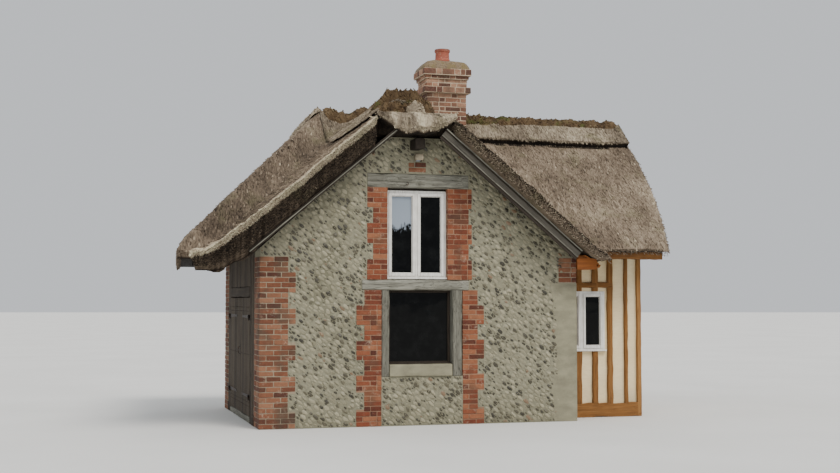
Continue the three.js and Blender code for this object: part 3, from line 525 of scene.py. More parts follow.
def beam(lot, start, end, width, depth, facing, rng, wane=0.004, tone=0.5, corner=9.0):
    """A hewn timber from start to end: width across its face, depth in behind it"""
    start, end, facing = (np.asarray(v, float) for v in (start, end, facing))
    length = np.linalg.norm(end - start)
    axis = (end - start) / length
    out = unit(facing - axis * (facing @ axis))
    side = np.cross(axis, out)
    sides, rings = 20, max(3, int(length / 0.06) + 1)
    angle = (np.arange(sides) + 0.5) * 2 * math.pi / sides
    across, deep = (np.sign(wave) * np.abs(wave) ** (2 / corner) * size / 2
                    for wave, size in ((np.cos(angle), width), (np.sin(angle), depth)))
    run = np.concatenate([[0.0], np.linspace(0.005, length - 0.005, rings), [length]])
    seed = int(rng.integers(1, 1000))
    shift = rng.uniform(0, 40, 3)
    wavy = lumps(run[:, None] * 7 + shift[0], np.arange(sides)[None] / 3.0 + shift[1], seed)
    bow = lumps(run * 1.3, np.zeros_like(run) + shift[2], seed + 1) * wane * 0.6
    size = 1 + wavy * wane / min(width, depth) * 2
    size[[0, -1]] *= 0.93
    u, v = across * size + bow[:, None], deep * size
    points = start + run[:, None, None] * axis + u[..., None] * side + (v[..., None] - depth / 2) * out
    grain = np.stack([u, v, np.broadcast_to(run[:, None], u.shape)], -1) + shift
    tube(lot, points, tone + rng.uniform(-0.12, 0.12), grain)


def timber(name, material, slot, *cuts, replaces=()):
    """A piece made of beams, each given as beam takes it"""
    lot = Lot()
    for cut in cuts:
        beam(lot, *cut)
    lot.piece(name, material, slot, replaces=replaces)


def rod(lot, path, radius, sides=10):
    """A round bar along a path of points"""
    path = np.asarray(path, float)
    heading = unit(np.gradient(path, axis=0))
    other = [0.0, 0.0, 1.0] if abs(heading[0][2]) < 0.8 else [1.0, 0.0, 0.0]
    side = unit(np.cross(heading, other))
    up = np.cross(side, heading)
    angle = (np.arange(sides) * 2 * math.pi / sides)[None, :, None]
    tube(lot, path[:, None] + (np.cos(angle) * side[:, None] + np.sin(angle) * up[:, None]) * radius)


# Shape of the roof

def soft_least(a, b, blend):
    share = np.clip(0.5 + 0.5 * (b - a) / blend, 0, 1)
    return b * (1 - share) + a * share - blend * share * (1 - share)


def hip_run(x, y):
    """How far a place in plan lies down the left hip from the ridge's end"""
    return -((x - RIDGE_END_X) * math.cos(HIP_TURN) + (y - RIDGE_Y) * math.sin(HIP_TURN))


def roof_height(x, y):
    """Top of the thatch: hips and ridges rounded, valleys swept"""
    main = RIDGE_Z - MAIN_FALL * np.abs(y - RIDGE_Y)
    hip = RIDGE_Z - HIP_FALL * hip_run(x, y)
    main = soft_least(main, hip, 0.06) + 0.12 * np.exp(-((main - hip) / 0.28) ** 2)
    left = GABLE_LEFT["top"] + GABLE_LEFT["fall"] * x
    right = GABLE_RIGHT["top"] - GABLE_RIGHT["fall"] * x
    peak_round = 0.5 + 0.5 * np.clip(1 - y / 0.7, 0, 1)
    gable = soft_least(left, right, peak_round) - REAR_FALL * np.maximum(y - RIDGE_Y, 0)
    return -soft_least(-main, -gable, 0.24)


def roll_top(x, y):
    """Top of the straw rolled over the ridges: thin left of the chimney, thick right of it"""
    return roof_height(x, y) + np.interp(x, [0.5, 1.0], [0.06, 0.12])


def main_soffit(y):
    return RIDGE_Z - MAIN_THICK - MAIN_FALL * np.abs(y - RIDGE_Y)


def hip_soffit(x, y):
    return RIDGE_Z - HIP_THICK - HIP_FALL * hip_run(x, y)


def rumple(x, y):
    """Slow sags and small lumps in the thatch"""
    slow, small = lumps(x * 1.1, y * 1.3, 11) * 0.016, lumps(x * 5.1, y * 5.3, 12) * 0.008
    return slow + small + lumps(x * 17, y * 15, 13) * 0.005


def verge_x(y):
    """Plan of the right verge: a belly on either side of the ridge"""
    rear_foot = EAVE_REAR - 0.18

    def curve(far):
        t = np.clip((y - far) / (RIDGE_Y - far), 0, 1)
        return (1 - t) ** 2 * VERGE_FOOT + 2 * t * (1 - t) * VERGE_BELLY + t ** 2 * VERGE_RIDGE

    return np.where(y < RIDGE_Y, curve(EAVE_RIGHT), curve(rear_foot)) - np.clip(y - rear_foot, 0, 1) * 0.26


def ease(edge, run, over=0.1):
    """Rounds the thatch down towards a free edge"""
    return 0.05 * np.clip(1 - (edge - run) / over, 0, 1) ** 2


# Thatch

def run_along(path):
    return np.concatenate([[0], np.cumsum(np.linalg.norm(np.diff(path, axis=0), axis=1))])


def rim(grid):
    """The edge points of a grid in order: head, end, foot, start"""
    return np.concatenate([grid[0, :-1], grid[:-1, -1], grid[-1, :0:-1], grid[:0:-1, 0]])


def sheet(lot, top, low, tones=0.5):
    """A closed skin between an upper and a lower grid of points"""
    index = np.arange(top[..., 0].size).reshape(top.shape[:2])
    upper, edge = grid_faces(index), rim(index)
    lot.add(np.stack([top, low]), [upper, upper[:, ::-1] + index.size, band(edge, edge + index.size)],
            np.tile((np.ones(index.shape) * tones).ravel(), 2))


def shell(lot, top, under, free, bulges, tones, grain, seed):
    """A closed slab of thatch: fine top, rings down its edges, coarse underside"""
    rng = np.random.default_rng(seed)
    rows, cols = top.shape[0] - 1, top.shape[1] - 1
    edge, edge_tone, edge_grain = rim(top), rim(tones), rim(grain)
    total = len(edge)
    loose = np.isin(np.repeat(["head", "end", "foot", "start"], [cols, rows, cols, rows]), list(free))
    outer = np.zeros_like(top)
    outer[[0, -1]] += top[[0, -1]] - top[[1, -2]]
    outer[:, [0, -1]] += top[:, [0, -1]] - top[:, [1, -2]]
    outer[..., 2] = 0
    out = unit(rim(outer))
    coarse = rim(under)
    share = (np.arange(COARSE) / COARSE)[None, :, None]
    low = (coarse[:, None] * (1 - share) + np.roll(coarse, -1, axis=0)[:, None] * share).reshape(-1, 3)
    depth, run = np.linalg.norm(low - edge, axis=1), run_along(edge)
    points, shades, grains = [top.reshape(-1, 3)], [tones.ravel()], [grain.reshape(-1, 3)]
    for step, (drop, bulge, tone) in enumerate(bulges):
        ragged = rng.uniform(-0.006, 0.006, (total, 1)) + bulge
        drop = (drop * (1 + 0.3 * lumps(run * 4.5, run * 0 + step * 0.3, seed)))[:, None]
        points.append(edge + (low - edge) * drop + out * ragged * loose[:, None])
        shades.append(np.where(loose, edge_tone * 0.3 + tone * 0.7, 0.3))
        grains.append(edge_grain + [0, 1, 0] * (depth[:, None] * drop))
    points.append(under.reshape(-1, 3))
    # The underside takes a low tone: painted shade under the eaves and the hood
    shades.append(np.full(len(points[-1]), -0.15))
    grains.append((under * [1.0, 0.2, 1.0]).reshape(-1, 3))
    index = np.arange(tones.size).reshape(tones.shape)
    rings = [rim(index), *(index.size + np.arange(len(bulges) * total).reshape(-1, total))]
    low_index = rings[-1][-1] + 1 + np.arange(len(points[-1])).reshape(under.shape[:2])
    low_rim = rim(low_index)
    strips = [np.roll(rings[-1], -s)[::COARSE] for s in range(COARSE + 1)] + [np.roll(low_rim, -1), low_rim]
    bands = [band(*pair) for pair in zip(rings, rings[1:])]
    lot.add(np.concatenate(points),
            [grid_faces(index), *bands, grid_faces(low_index)[:, [0, 3, 2, 1]], np.column_stack(strips)],
            np.concatenate(shades), np.concatenate(grains))


# Points and faces of a lock of reed and of a single straw
LOCK = (np.array([[0, 0, -0.3], [-0.5, 0.55, -0.25], [0.05, 0.5, 0.6], [0.5, 0.6, -0.25],
                  [-0.46, 0.96, -0.35], [0.0, 1.0, 1.0], [0.47, 0.92, -0.35]]),
        [[[0, 1, 2], [0, 2, 3], [4, 5, 6], [0, 3, 1]], [[1, 4, 5, 2], [2, 5, 6, 3], [1, 3, 6, 4]]])
STALK = (np.array([[0, 0, -0.6], [-0.5, 1.0, 0.1], [0.5, 0.97, 0.1], [0.0, 1.0, 1.0]]),
         [[[0, 1, 3], [0, 3, 2], [1, 2, 3], [0, 2, 1]]])


def lay(lot, shape, places, axes, sizes, tones, shift):
    """A lock or straw at each place, sized along its three axes; shift is where its grain starts"""
    points, faces = shape
    turns = np.stack([axis * size for axis, size in zip(axes, sizes)], 1)
    grains = (points * np.concatenate(sizes, 1)[:, None])[..., [0, 2, 1]] + shift
    lot.add(places[:, None] + np.einsum("mk,nkj->nmj", points, turns),
            repeated(faces, len(places), len(points)), np.repeat(tones, len(points)), grains)


def comb(lot, top, tones, flow, each, shape, length, width, lift, seed, stray=0.12):
    """Lays locks or straws on the thatch, butts downhill; each is how many to a square metre"""
    rng = np.random.default_rng(seed)
    a, b, c, d = top[:-1, :-1], top[1:, :-1], top[1:, 1:], top[:-1, 1:]
    normal = np.cross(c - a, d - b)
    area = np.linalg.norm(normal, axis=-1) / 2
    count = int(area.sum() * each)
    cell = rng.choice(area.size, count, p=area.ravel() / area.sum())
    u, v = rng.random((2, count, 1))
    a, b, c, d, up = (grid.reshape(-1, 3)[cell] for grid in (a, b, c, d, normal))
    places = (a * (1 - u) + b * u) * (1 - v) + (d * (1 - u) + c * u) * v
    up = unit(up) * np.sign(normal[..., 2].mean())
    down = flow(places) - [0, 0, 0.6]
    down = unit(down - up * (down * up).sum(1, keepdims=True))
    side = np.cross(up, down)
    lean = rng.normal(0, stray, (count, 1))
    down, side = unit(down + side * lean), unit(side - down * lean)
    sizes = [rng.uniform(*limits, (count, 1)) for limits in (width, length, lift)]
    shade = np.clip(tones[:-1, :-1].ravel()[cell] + rng.normal(0.06, 0.15, count), 0, 1)
    places = places - down * sizes[1] * 0.4
    lay(lot, shape, places, (side, down, up), sizes, shade, rng.uniform(0, 40, (count, 1, 3)))


def fringe(lot, edge, outward, drops, gap, length, tone, seed, width=(0.006, 0.013), vary=0.15):
    """Straw ends along a free edge; drops is how far below the edge they start, least and most"""
    rng = np.random.default_rng(seed)
    run = run_along(edge)
    count = int(run[-1] / gap)
    where = np.sort(rng.uniform(0, run[-1], count))
    places, aim = (np.stack([np.interp(where, run, row) for row in np.broadcast_to(line, edge.shape).T], 1)
                   for line in (edge, outward))
    aim = unit(aim + rng.normal(0, 0.16, (count, 3)))
    across = unit(np.cross(aim, [0.1, 0.2, 1.0]))
    sizes = [rng.uniform(*limits, (count, 1)) for limits in (width, length, width)]
    shift = rng.uniform(0, 40, (count, 1, 3))
    least, most = (np.interp(where, run, np.broadcast_to(drop, len(edge))) for drop in drops)
    fall = least + (most - least) * rng.random(count)
    places = places - aim * sizes[1] * 0.5 - fall[:, None] * UP
    lay(lot, STALK, places, (across, aim, np.cross(across, aim)), sizes, rng.normal(tone, vary, count), shift)


def cells_for(length, fine=STRAND):
    """Number of fine cells along a length, a whole number of coarse ones"""
    return max(1, round(length / fine / COARSE)) * COARSE


def lattice(starts, ends):
    """Rows of even steps from starts to ends"""
    share = np.linspace(0, 1, cells_for((ends - starts).max()) + 1)
    return starts[:, None] * (1 - share) + ends[:, None] * share


# Rings down an edge of thatch: share of its depth, how far out, and how pale. The paleness paints
# light and shade: the paler top rings of the rakes are painted light on the lit edge, and the darker
# rings below are painted shade on the cut faces, with the darker cut ends, and the painted shadow line
# under the ridge skirts
EAVE_RINGS = [(0.12, 0.016, 0.5), (0.5, 0.022, 0.35), (0.86, 0.008, 0.25)]
PALE_RAKE = [(0.05, 0.03, 1.2), (0.13, 0.045, 1.0), (0.2, 0.03, 0.1), (0.42, 0.0, -0.15), (0.92, -0.02, -0.2)]
BROWN_RAKE = [(0.05, 0.03, 0.6), (0.2, 0.038, 0.22), (0.5, 0.03, 0.3), (0.75, 0.01, 0.38), (0.97, -0.01, 0.3)]
SKIRT_RINGS = [(0.12, 0.012, 0.45), (0.24, -0.008, -0.3), (0.6, -0.036, -0.6), (0.97, -0.038, -0.6)]

# Straw laid on a surface: shape, how many to a square metre, then least and most length, width and lift
FULL_COMB = [(LOCK, 430, (0.06, 0.13), (0.014, 0.032), (0.005, 0.013)),
             (STALK, 900, (0.05, 0.13), (0.006, 0.012), (0.006, 0.015))]
ROLL_COMB = [(LOCK, 420, (0.08, 0.16), (0.014, 0.032), (0.005, 0.012)),
             (STALK, 900, (0.07, 0.17), (0.006, 0.011), (0.006, 0.014))]
HOOD_COMB = [(LOCK, 640, (0.05, 0.09), (0.014, 0.03), (0.004, 0.008)),
             (STALK, 2300, (0.05, 0.09), (0.005, 0.01), (0.003, 0.007))]
# How much of the full straw a piece carries: less on the slopes that the photograph doesn't show
COMB_SHARE = {"reed_main_rear": 0.3, "reed_left_hip": 0.45}
# Straw ends under an eave, as fringe takes them
EAVE_ENDS = ((0, EAVE_LIP), 0.006, (0.04, 0.09), 0.42)


def thatch_piece(name, node, top, under, free, rings, tones, grain, flow, seed, material=REED,
                 slot="thatch", combs=FULL_COMB, fringes=()):
    lot = Lot()
    shell(lot, top, under, free, rings, tones, grain, seed)
    for k, (shape, each, *sizes) in enumerate(combs):
        comb(lot, top, tones, flow, each * COMB_SHARE.get(name, 0.75), shape, *sizes, seed + 31 * k)
    for k, settings in enumerate(fringes):
        fringe(lot, *settings[:6], seed + 7 + k, *settings[6:])
    lot.piece(name, material, slot, replaces=[node])


def steady(x, y):
    return lambda places: np.array([x, y, 0.0])


def mottled(x, y, base=0.45, mixed=0.14):
    # Darker towards the left end of the roof: painted shade on the slopes turned away from the light
    weathered = base - 0.1 * np.clip((-0.2 - x) / 0.6, 0, 1)
    return weathered + lumps(x * 2.3, y * 2.1, 31) * mixed + lumps(x * 9, y * 8, 32) * mixed * 0.7


def grids(x, y, z, low_x, low_y, low_z):
    """Fine top and coarse underside"""
    return np.stack([x, y, z], -1), np.stack([low_x, low_y, low_z], -1)[::COARSE, ::COARSE]


def main_slope(name, node, sign, eave, start_x, end_x, free, seed):
    """A slope of the main roof: sign -1 falls to the front, 1 to the back"""
    run = (eave - RIDGE_Y) * sign
    s = np.linspace(0, run, cells_for(run * math.hypot(1, MAIN_FALL)) + 1)
    y = RIDGE_Y + sign * s
    right = end_x(y)
    x = lattice(start_x(y), right)
    y, s = (np.broadcast_to(line[:, None], x.shape) for line in (y, s))
    z = roof_height(x, y) + rumple(x, y) - ease(run, s)
    low_x = x
    if "end" in free:
        z = z - ease(right[:, None], x, 0.12)
        low_x = np.clip(x, None, right[:, None] - 0.05)
    soffit = np.maximum(RIDGE_Z - MAIN_THICK - MAIN_FALL * s, RIDGE_Z - MAIN_FALL * run - EAVE_LIP)
    top, under = grids(x, y, z, low_x, RIDGE_Y + sign * np.minimum(s, run - TIP), soffit)
    fringes = [(top[-1], (0, sign, -0.75), *EAVE_ENDS)]
    if "end" in free:
        deep = (z - soffit)[:, -1] * 0.7
        fringes.append((top[:, -1], (0.8, sign * 0.6, -0.6), (0, deep), 0.005, (0.04, 0.1), 0.45))
    thatch_piece(name, node, top, under, free, EAVE_RINGS, mottled(x, y),
                 np.stack([x, z * 0, s * 1.34], -1), steady(0.0, sign), seed, fringes=fringes)


def left_hip():
    turn_c, turn_s = math.cos(HIP_TURN), math.sin(HIP_TURN)
    s = np.linspace(0.02, HIP_RUN, cells_for(HIP_RUN * math.hypot(1, HIP_FALL)) + 1)
    w = lattice(*((turn_s - slope * turn_c) / (turn_c + slope * turn_s) * s
                  for slope in (HIP_FRONT, -HIP_REAR)))
    s = np.broadcast_to(s[:, None], w.shape)
    x = RIDGE_END_X - s * turn_c - w * turn_s
    y = RIDGE_Y - s * turn_s + w * turn_c
    z = roof_height(x, y) + rumple(x, y) - ease(HIP_RUN, s)
    soffit = np.maximum(RIDGE_Z - HIP_THICK - HIP_FALL * s, RIDGE_Z - HIP_FALL * HIP_RUN - EAVE_LIP)
    drawn = np.minimum(s, HIP_RUN - TIP) - s
    top, under = grids(x, y, z, x - drawn * turn_c, y - drawn * turn_s, soffit)
    thatch_piece("reed_left_hip", "thatch_left_hip", top, under, {"foot"}, EAVE_RINGS, mottled(x, y),
                 np.stack([w, z * 0, s * 1.43], -1), steady(-turn_c, -turn_s), 53,
                 fringes=[(top[-1], (-turn_c, -turn_s, -0.8), *EAVE_ENDS)])


def gable_slope(name, node, side, sign, eave, valley, pale, rings, seed):
    """A slope of the front gable: sign -1 falls to the left, 1 to the right"""
    tip, foot, run = abs(side["tip"]), abs(side["foot"]), abs(side["tip"] - GABLE_X)
    s = np.linspace(0, run, cells_for(run * math.hypot(1, side["fall"])) + 1)
    x = GABLE_X + sign * s
    back = np.minimum(np.maximum(valley[0] + valley[1] * x, eave), RIDGE_Y)
    front = np.interp(np.abs(x), [side["inner"], side["inner"] + 0.1], [HOOD_BACK, RAKE_Y])
    y = lattice(front, back)
    x, s = (np.broadcast_to(line[:, None], y.shape) for line in (x, s))
    from_rake = y - front[:, None]
    rolled = np.clip(1 - from_rake / 0.16, 0, 1)
    z = roof_height(x, y) + rumple(x, y) - ease(run, s)
    z = z + np.interp(x, *side["swell"]) * (1 - np.clip(from_rake / 0.2, 0, 1) ** 2) ** 1.5
    z = z + rolled * (lumps(s * 6, y * 4, seed) * 0.016 + lumps(s * 15, y * 9, seed) * 0.012)
    marks = [GABLE_X * sign, foot, tip - 0.38 * abs(side["tip"] - side["foot"]), tip]
    tip_z = side["top"] - side["fall"] * tip - EAVE_LIP / 2
    levels = [side["soffit"] - side["under"] * mark for mark in marks[:2]] + [tip_z, tip_z]
    soffit = np.interp(x * sign, marks, levels)
    over_boards = np.maximum(side["verge"][0] - side["verge"][1] * np.abs(x) + 0.03 - soffit, 0)
    soffit = soffit + over_boards * np.clip(-y / 0.1, 0, 1) * (np.abs(x) < foot + 0.1)
    top, under = grids(x, y, z, np.where(s > run - TIP, x - sign * TIP, x),
                       np.maximum(y, front[:, None] + 0.07), soffit)
    speckle = np.random.default_rng(seed).uniform(-0.25, 0.25, x.shape)
    # The rolled rim of the rake is paler: pale speckled straw, with painted light on its lit top edge
    tones = mottled(x, y) + np.sqrt(rolled) * (pale + speckle * pale * 2)
    shown = np.abs(x[:, 0]) > side["inner"] + 0.03
    rake, deep = top[shown, 0], (z - soffit)[shown, 0]
    butts, ahead, wide = rake + [0, -0.028, 0], (sign * 0.35, -1, -0.35), (0.008, 0.018)
    # The straw ends on the rim are pale like it; those under it take the rings' tones and their painted shade
    fringes = [(rake, (sign * 0.75, -0.45, -0.55), (0, deep * 0.12), 0.004, (0.05, 0.11), 0.5 + pale),
               (butts, ahead, (0, deep * 0.24), 0.0011, (0.03, 0.06), rings[1][2] - 0.1, wide, 0.4),
               (butts, ahead, (deep * 0.22, deep * 0.8), 0.0011, (0.03, 0.055), rings[-2][2], wide, 0.25),
               (top[-1][2:], (sign, 0, -0.8), (0, EAVE_LIP / 2), 0.006, (0.04, 0.08), 0.42)]
    thatch_piece(name, node, top, under, {"foot", "start"}, rings, tones,
                 np.stack([y, z * 0, s * 1.31], -1), steady(sign, 0.0), seed, fringes=fringes)


def hood():
    """The cap of straw over the gable's peak: a fan whose thick lip hangs down before the wall"""
    cols, rows = cells_for(2 * HOOD_HALF, 0.024), cells_for(1.15, 0.024)
    x = np.linspace(-HOOD_HALF - 0.02, HOOD_HALF - 0.07, cols + 1)
    lip_y = HOOD_LIP + 0.2 * (np.abs(x) / HOOD_HALF) ** 2.6
    share = np.linspace(0, 1, rows + 1)[:, None]
    marks = [0.0, 0.4, 0.6, 0.72, 0.84, 1.0]
    run = np.interp(share, marks, [0.0, 0.66, 0.87, 0.96, 1.0, 0.995])
    rise = np.interp(share, marks, [HOOD_TOP, 4.61, 4.58, 4.53, 4.46, 4.325])
    across = [-0.64, -0.544, -0.41, -0.257, -0.026, 0.148, 0.343, 0.5, 0.56]
    low = np.interp(x, across, [4.54, 4.43, 4.33, 4.29, 4.285, 4.3, 4.375, 4.475, 4.51])
    y = HOOD_BACK + (lip_y - HOOD_BACK) * run
    x = np.broadcast_to(x, y.shape)
    hang = np.clip((share - 0.55) / 0.45, 0, 1)
    profile = rise + (low - 4.275) * hang
    z = soft_least(roof_height(x, y) + 0.06, profile, 0.1) + 0.01
    z = np.where(hang > 0.6, profile, z * (1 - hang / 0.6) + profile * hang / 0.6)
    centre = np.array([GABLE_X, HOOD_BACK + 0.35, 0])
    fan = np.arctan2(x - centre[0], centre[1] - y)
    folds = lumps(fan * 13, share * 1.2, 41)
    pleats = folds * 0.024 * np.minimum(share * 1.6, 1)
    scallops = lumps(x * 13, x * 0, 42) * 0.03 * hang
    z = z + pleats * (1 - hang) - scallops + rumple(x, y) * 0.4
    y = y - pleats * hang * 1.2
    low_y = lip_y + 0.035 + (HOOD_BACK - lip_y - 0.035) * (1 - share)
    inside = np.clip((low_y + 0.1) / 0.2, 0, 1)
    floor = (low - 0.006) * (1 - inside) + 4.28 * inside - scallops * (1 - inside)
    top, under = grids(x, y, z, x * 0.985, low_y, np.minimum(floor, z - 0.006))
    reach = np.hypot(x - centre[0], y - centre[1]) + hang * 0.3

    def flow(places):
        return unit((places - centre) * [1, 1, 0])

    out = flow(top[-1]) * 0.5 + [0, 0, -1]
    fringes = [(top[-1], out, (-0.02, 0.0), 0.0035, (0.015, 0.035), 0.7),
               (top[-4], out, (0, 0.03), 0.0035, (0.025, 0.045), 0.6)]
    strands = folds * 0.4 + lumps(fan * 60, reach * 2.5, 44) * 0.22
    tones = mottled(x, y, 0.66, 0.12) - 0.3 * (1 - np.clip(share / 0.5, 0, 1)) + strands
    # Its side rings and underside are darkened: painted shade under the lip
    thatch_piece("straw_hood", "thatch_hood", top, under, {"foot", "start", "end"},
                 [(0.3, 0.006, 0.2), (0.7, 0.0, -0.4)], tones, np.stack([fan * 0.9, z * 0, -reach], -1),
                 flow, 61, STRAW, "thatch", HOOD_COMB, fringes)


def roll(name, first_y, over, start_x, end_x, free, seed):
    """A roll of straw bent over a ridge, from first_y to the rear; over is its length over the bend"""
    y = np.linspace(first_y, RIDGE_Y + ROLL_SKIRT, cells_for(over) + 1)
    x = lattice(start_x(y), end_x(y))
    y = np.broadcast_to(y[:, None], x.shape)
    z = roll_top(x, y) + rumple(x, y)
    top, under = grids(x, y, z, x, y, roof_height(x, y))
    down, along = (x * 1.3, y) if name == "gable" else ((y - RIDGE_Y) * 1.34, x)
    near = 0.02

    def flow(places):
        px, py = places[:, 0], places[:, 1]
        fall_x = (roof_height(px - near, py) - roof_height(px + near, py)) / (2 * near)
        fall_y = (roof_height(px, py - near) - roof_height(px, py + near)) / (2 * near)
        return unit(np.stack([fall_x, fall_y, px * 0], 1) + 1e-6)

    edges = {"head": top[0], "foot": top[-1], "start": top[:, 0], "end": top[:, -1]}
    fringes = [(edge, flow(edge) + [0, 0, -0.8], (-0.015, 0.008), 0.004, (0.025, 0.05), 0.5)
               for side, edge in edges.items() if side in free]
    thatch_piece("straw_roll_" + name, "ridge_roll_" + name, top, under, free, SKIRT_RINGS,
                 mottled(x, y, 0.44, 0.16), np.stack([along, z * 0, down], -1), flow, seed, STRAW,
                 "thatch_roll", ROLL_COMB, fringes)


def mound(name, material, seed, path, half, tall):
    """A lumpy closed strip along a path over the thatch: half its width and its height go with the path"""
    path = np.asarray(path, float)
    steps = run_along(path)
    run = np.linspace(0, steps[-1], max(8, int(steps[-1] / 0.025)))
    centre = np.stack([np.interp(run, steps, path[:, k]) for k in range(2)], 1)
    ahead = unit(np.gradient(centre, axis=0))
    side = np.stack([-ahead[:, 1], ahead[:, 0]], 1)
    across = np.linspace(-1, 1, 15)
    ends = np.sqrt(np.clip(np.minimum(run, run[-1] - run) / 0.07, 0.02, 1))
    width = np.interp(run, steps, half) * ends * (1 + 0.18 * lumps(run * 7, run * 0, seed))
    plan = centre[:, None] + side[:, None] * (across[None] * width[:, None])[..., None]
    x, y = plan[..., 0], plan[..., 1]
    dome = np.sqrt(np.clip(1 - across ** 2, 0, 1)) * (np.interp(run, steps, tall) * ends)[:, None]
    rough = lumps(x * 12, y * 12, seed) * 0.45 + lumps(x * 29, y * 27, seed + 1) * 0.35
    base = roll_top(x, y)
    base = np.where(y < HOOD_BACK, np.minimum(base, HOOD_TOP + 0.19 * (y - HOOD_BACK)), base)
    top, low = (np.stack([x, y, z], -1) for z in (base + dome * (1 + rough) - 0.012, base - 0.03))
    lot, tones = Lot(), 0.45 + 0.4 * rough
    sheet(lot, top, low, tones)
    comb(lot, top, tones, steady(0.0, -1.0), 800, LOCK, (0.03, 0.07), (0.012, 0.026), (0.006, 0.016),
         seed, 0.9)
    lot.piece(name, material, "thatch_roll")


def thatch():
    stack_left, stack_right = (corner[0] for corner in around("chimney_stack"))
    main_slope("reed_main_front", "thatch_front", -1, EAVE_RIGHT,
               lambda y: (y - VALLEY_RIGHT[0]) / VALLEY_RIGHT[1], verge_x, {"foot", "end"}, 71)
    main_slope("reed_main_front_left", "thatch_front_left", -1, EAVE_LEFT,
               lambda y: RIDGE_END_X + (y - RIDGE_Y) / HIP_FRONT,
               lambda y: (y - VALLEY_LEFT[0]) / VALLEY_LEFT[1], {"foot"}, 72)
    main_slope("reed_main_rear", "thatch_rear", 1, EAVE_REAR,
               lambda y: RIDGE_END_X - (y - RIDGE_Y) / HIP_REAR, verge_x, {"foot", "end"}, 73)
    left_hip()
    gable_slope("reed_gable_left", "thatch_gable_left", GABLE_LEFT, -1, EAVE_LEFT, VALLEY_LEFT, 0.75,
                PALE_RAKE, 75)
    gable_slope("reed_gable_right", "thatch_gable_right", GABLE_RIGHT, 1, EAVE_RIGHT, VALLEY_RIGHT, 0.1,
                BROWN_RAKE, 76)
    hood()
    roll("right", RIDGE_Y - ROLL_SKIRT, 1.13, lambda y: y * 0 + stack_right + 0.004,
         lambda y: y * 0 + VERGE_RIDGE - 0.02, {"head", "foot", "end"}, 81)
    roll("left", ROLL_FLAP, 1.4,
         lambda y: np.interp(y, [ROLL_FLAP, RIDGE_Y - 0.06], [ROLL_TIP_X, RIDGE_END_X + 0.05]),
         lambda y: y * 0 + ROLL_SPLIT, {"head", "foot", "start"}, 82)
    roll("gable", -0.15, 2.8,
         lambda y: np.interp(y, [-0.15, ROLL_FLAP, ROLL_FLAP + 0.04], [-0.79, ROLL_TIP_X, ROLL_SPLIT]),
         lambda y: np.interp(y, [HOOD_BACK - 0.04, HOOD_BACK, RIDGE_Y - ROLL_SKIRT],
                             [-0.6, stack_left - 0.4, stack_left]), {"foot", "start", "end", "head"}, 83)
    hip = np.array([-1.0, HIP_REAR]) / math.hypot(1.0, HIP_REAR)
    start = np.array([RIDGE_END_X + 0.05, RIDGE_Y])
    for row in (
            ("ridge_earth_right", EARTH, 91,
             [(x, RIDGE_Y) for x in (stack_right + 0.01, 2.4, VERGE_RIDGE - 0.06)],
             [0.13, 0.1, 0.09], [0.075, 0.06, 0.055]),
            ("ridge_earth_left", EARTH, 92,
             [(x, RIDGE_Y) for x in (RIDGE_END_X + 0.1, ROLL_SPLIT, stack_left - 0.02)],
             [0.12, 0.16, 0.16], [0.06, 0.09, 0.08]),
            ("gable_ridge_earth", EARTH, 93,
             [(-0.2, 0.33), (-0.2, 0.6), (GABLE_X - 0.05, 1.0), (GABLE_X, RIDGE_Y - 0.1)],
             [0.38, 0.34, 0.24, 0.18], [0.05, 0.07, 0.08, 0.08]),
            ("hood_knot", STRAW, 95, [(0.02, -0.06), (0.04, 0.06), (0.04, 0.24)], [0.09, 0.14, 0.12],
             [0.08, 0.17, 0.18]),
            ("hood_earth", EARTH, 96, [(-0.62, 0.3), (-0.3, 0.26), (0.2, 0.22), (0.42, 0.26)],
             [0.1, 0.14, 0.14, 0.1], [0.05, 0.18, 0.18, 0.08]),
            ("hip_straw_strip", STRAW, 94, [start, start + hip * 0.35, start + hip * 0.62], [0.2, 0.17, 0.14],
             [0.05, 0.045, 0.035])):
        mound(*row)


# Flint walls

# Flints lie with their long side falling to the right: from the space they are packed in to the face
LEAN = np.array([[0.77, -0.64], [0.64, 0.77]])
LONG, SHORT = 1.45, 0.72
LIE = LEAN.T @ np.diag([LONG, SHORT]) @ LEAN
# Rings of a flint from its bed up: its share of the outline, and of its height
FLINT_RINGS = ((1.0, -0.15), (0.93, 0.45), (0.62, 0.88))


def flat_face(node, axis, sign):
    """Triangles of a node's outermost face along one axis, and its outline, in that face's plane"""
    mesh = nodes[node].data
    mesh.calc_loop_triangles()
    points = np.array([v.co for v in mesh.vertices]) + MIDDLE
    normals = np.array([t.normal for t in mesh.loop_triangles])
    corners = np.array([list(t.vertices) for t in mesh.loop_triangles])
    plane = (points[:, axis] * sign).max()
    level = np.abs(points[corners][:, :, axis] * sign - plane).max(1) < 0.002
    chosen = corners[(normals[:, axis] * sign > 0.99) & level]
    flat = points[:, [1 - axis, 2]]
    edges = {}
    for triangle in flat[chosen].round(5).tolist():
        for k in range(3):
            key = tuple(sorted((tuple(triangle[k]), tuple(triangle[(k + 1) % 3]))))
            edges[key] = edges.get(key, 0) + 1
    outline = np.array([key for key, uses in edges.items() if uses == 1])
    return flat[chosen], outline, plane * sign


def within(triangles, places):
    inside = np.zeros(len(places), bool)
    for a, b, c in triangles:
        sides = np.stack([(q[0] - p[0]) * (places[:, 1] - p[1]) - (q[1] - p[1]) * (places[:, 0] - p[0])
                          for p, q in ((a, b), (b, c), (c, a))])
        inside |= (sides >= 0).all(0) | (sides <= 0).all(0)
    return inside


def clearance(outline, places):
    """Distance from each place to the nearest edge of an outline"""
    best = np.full(len(places), 9.0)
    for p, q in outline:
        along = q - p
        share = np.clip(((places - p) @ along) / max(along @ along, 1e-9), 0, 1)
        best = np.minimum(best, np.linalg.norm(places - (p + share[:, None] * along), axis=1))
    return best


